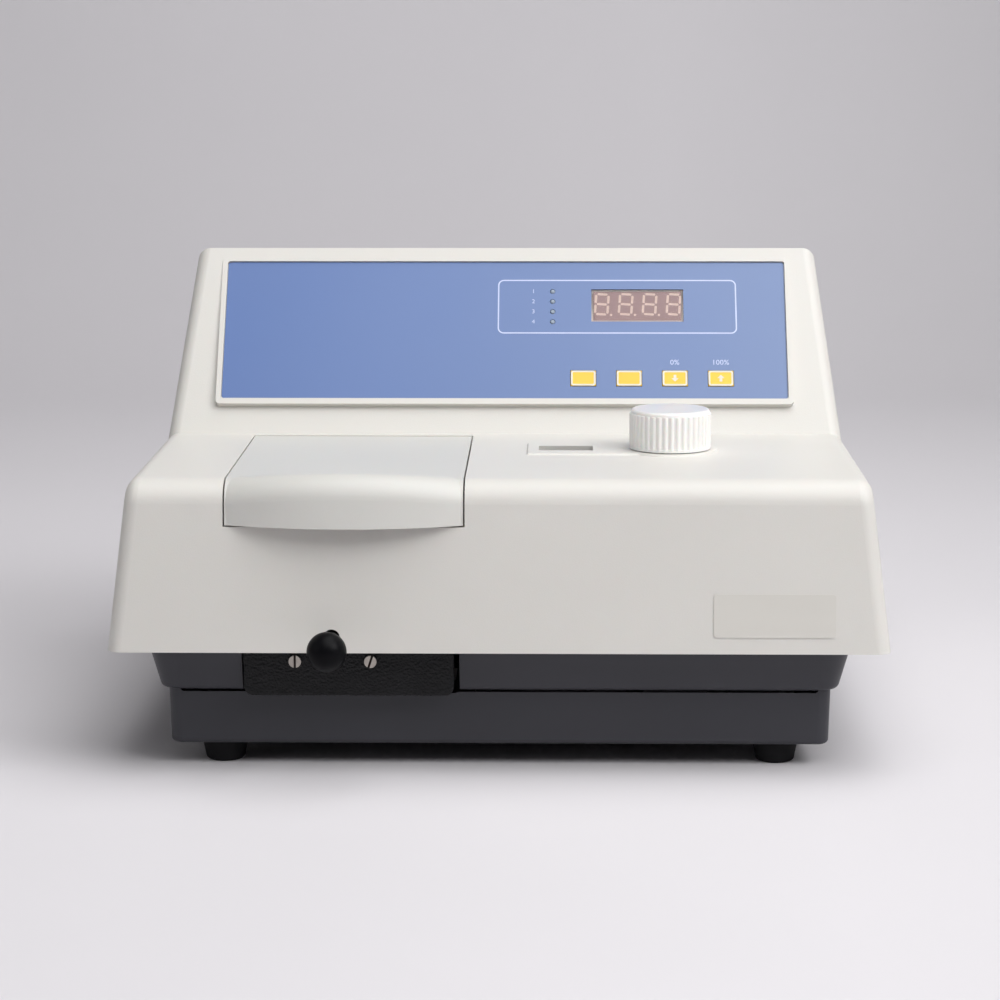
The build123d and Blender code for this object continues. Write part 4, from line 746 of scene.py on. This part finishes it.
bpy.ops.mesh.extrude_region_move(TRANSFORM_OT_translate={"value": (0, 0, WALL_HIGH)})
bpy.ops.object.mode_set(mode="OBJECT")
for edge in sweep.data.edges:
    edge.select = all(
        sweep.data.vertices[index].co.y > 1.0 and sweep.data.vertices[index].co.z < 0.1
        for index in edge.vertices
    )
bpy.ops.object.mode_set(mode="EDIT")
bpy.ops.mesh.bevel(offset=BEND, segments=16, affect="EDGES")
bpy.ops.mesh.select_all(action="SELECT")
bpy.ops.mesh.normals_make_consistent(inside=False)
bpy.ops.object.mode_set(mode="OBJECT")
bpy.ops.object.shade_smooth()
name_it(sweep, "sweep")
sweep_paper = finish(
    "sweep_paper", (0.70, 0.68, 0.705), 0.7, vary=0.01, vary_scale=2.0,
    grain_scale=700.0, grain_depth=0.05, grain_distance=0.0001,
)
fade(sweep_paper, "Y", -0.4, 1.9, WHITE, (1.16, 1.16, 1.16))
fade(sweep_paper, "X", 0.15, 0.9, WHITE, (0.72, 0.72, 0.72))
sweep.data.materials.append(sweep_paper)
print("sweep faces", len(sweep.data.polygons))

# %% [markdown]
# Light comes from large soft panels, as in a studio: the key from the upper right and front, a broad
# one overhead, a weaker fill from the left and another from above the camera. A faint sky keeps the
# shadows open. Area lamps are aimed with a small helper that points their minus Z axis at the object.

# %% Lights


def area_lamp(name, place, target, size, watts, colour=(1, 1, 1)):
    bpy.ops.object.select_all(action="DESELECT")
    bpy.ops.object.light_add(type="AREA", location=place)
    lamp = bpy.context.active_object
    lamp.name = name
    lamp.data.name = name
    lamp.data.shape = "RECTANGLE"
    lamp.data.size = size[0]
    lamp.data.size_y = size[1]
    lamp.data.energy = watts
    lamp.data.color = colour
    lamp.rotation_euler = (Vector(target) - Vector(place)).to_track_quat("-Z", "Y").to_euler()
    return lamp


area_lamp("key_panel", (1.5, -1.0, 1.5), (0, 0, 0.1), (1.4, 1.2), 31)
area_lamp("top_panel", (0.35, -0.25, 2.0), (0, 0, 0.1), (2.0, 1.4), 29)
area_lamp("left_fill", (-1.9, -0.9, 1.0), (0, 0, 0.1), (1.4, 1.4), 5)
area_lamp("near_panel", (0.3, -1.7, 1.9), (0, -0.2, 0.0), (1.6, 1.0), 9)

world = bpy.data.worlds.new("studio")
bpy.context.scene.world = world
world.use_nodes = True
sky = world.node_tree.nodes["Background"]
sky.inputs["Color"].default_value = (0.95, 0.96, 1.0, 1)
sky.inputs["Strength"].default_value = 0.05

# %% [markdown]
# The camera stands where the photographer did, as far as it can be worked out. From the edges that
# run away from us and from an assumed size of the display's digits, the view comes out as a long lens
# that looks down by about ten degrees, from a little right of the middle, and a degree to the left.

# %% Camera
CAMERA_PLACE = Vector((27.5, -1485.7, 361.9)) * MM
CAMERA_TILT = math.radians(9.63)
CAMERA_SWING = math.radians(1.13)
CAMERA_ROLL = math.radians(-0.07)
FOCAL_PIXELS = 2908.0
FRAME_PIXELS = 1000.0
SENSOR = 36.0
bpy.ops.object.camera_add(location=CAMERA_PLACE)
camera = bpy.context.active_object
camera.name = "camera"
camera.data.sensor_width = SENSOR
camera.data.lens = SENSOR * FOCAL_PIXELS / FRAME_PIXELS
aim = Vector(
    (
        -math.sin(CAMERA_SWING) * math.cos(CAMERA_TILT),
        math.cos(CAMERA_SWING) * math.cos(CAMERA_TILT),
        -math.sin(CAMERA_TILT),
    )
)
aimed = aim.to_track_quat("-Z", "Y").to_matrix()
camera.rotation_euler = (aimed @ Matrix.Rotation(CAMERA_ROLL, 3, "Z")).to_euler()
camera.data.clip_end = 20
bpy.context.scene.camera = camera
bpy.context.scene.view_settings.view_transform = "Standard"
print("lens", round(camera.data.lens, 1), "mm")
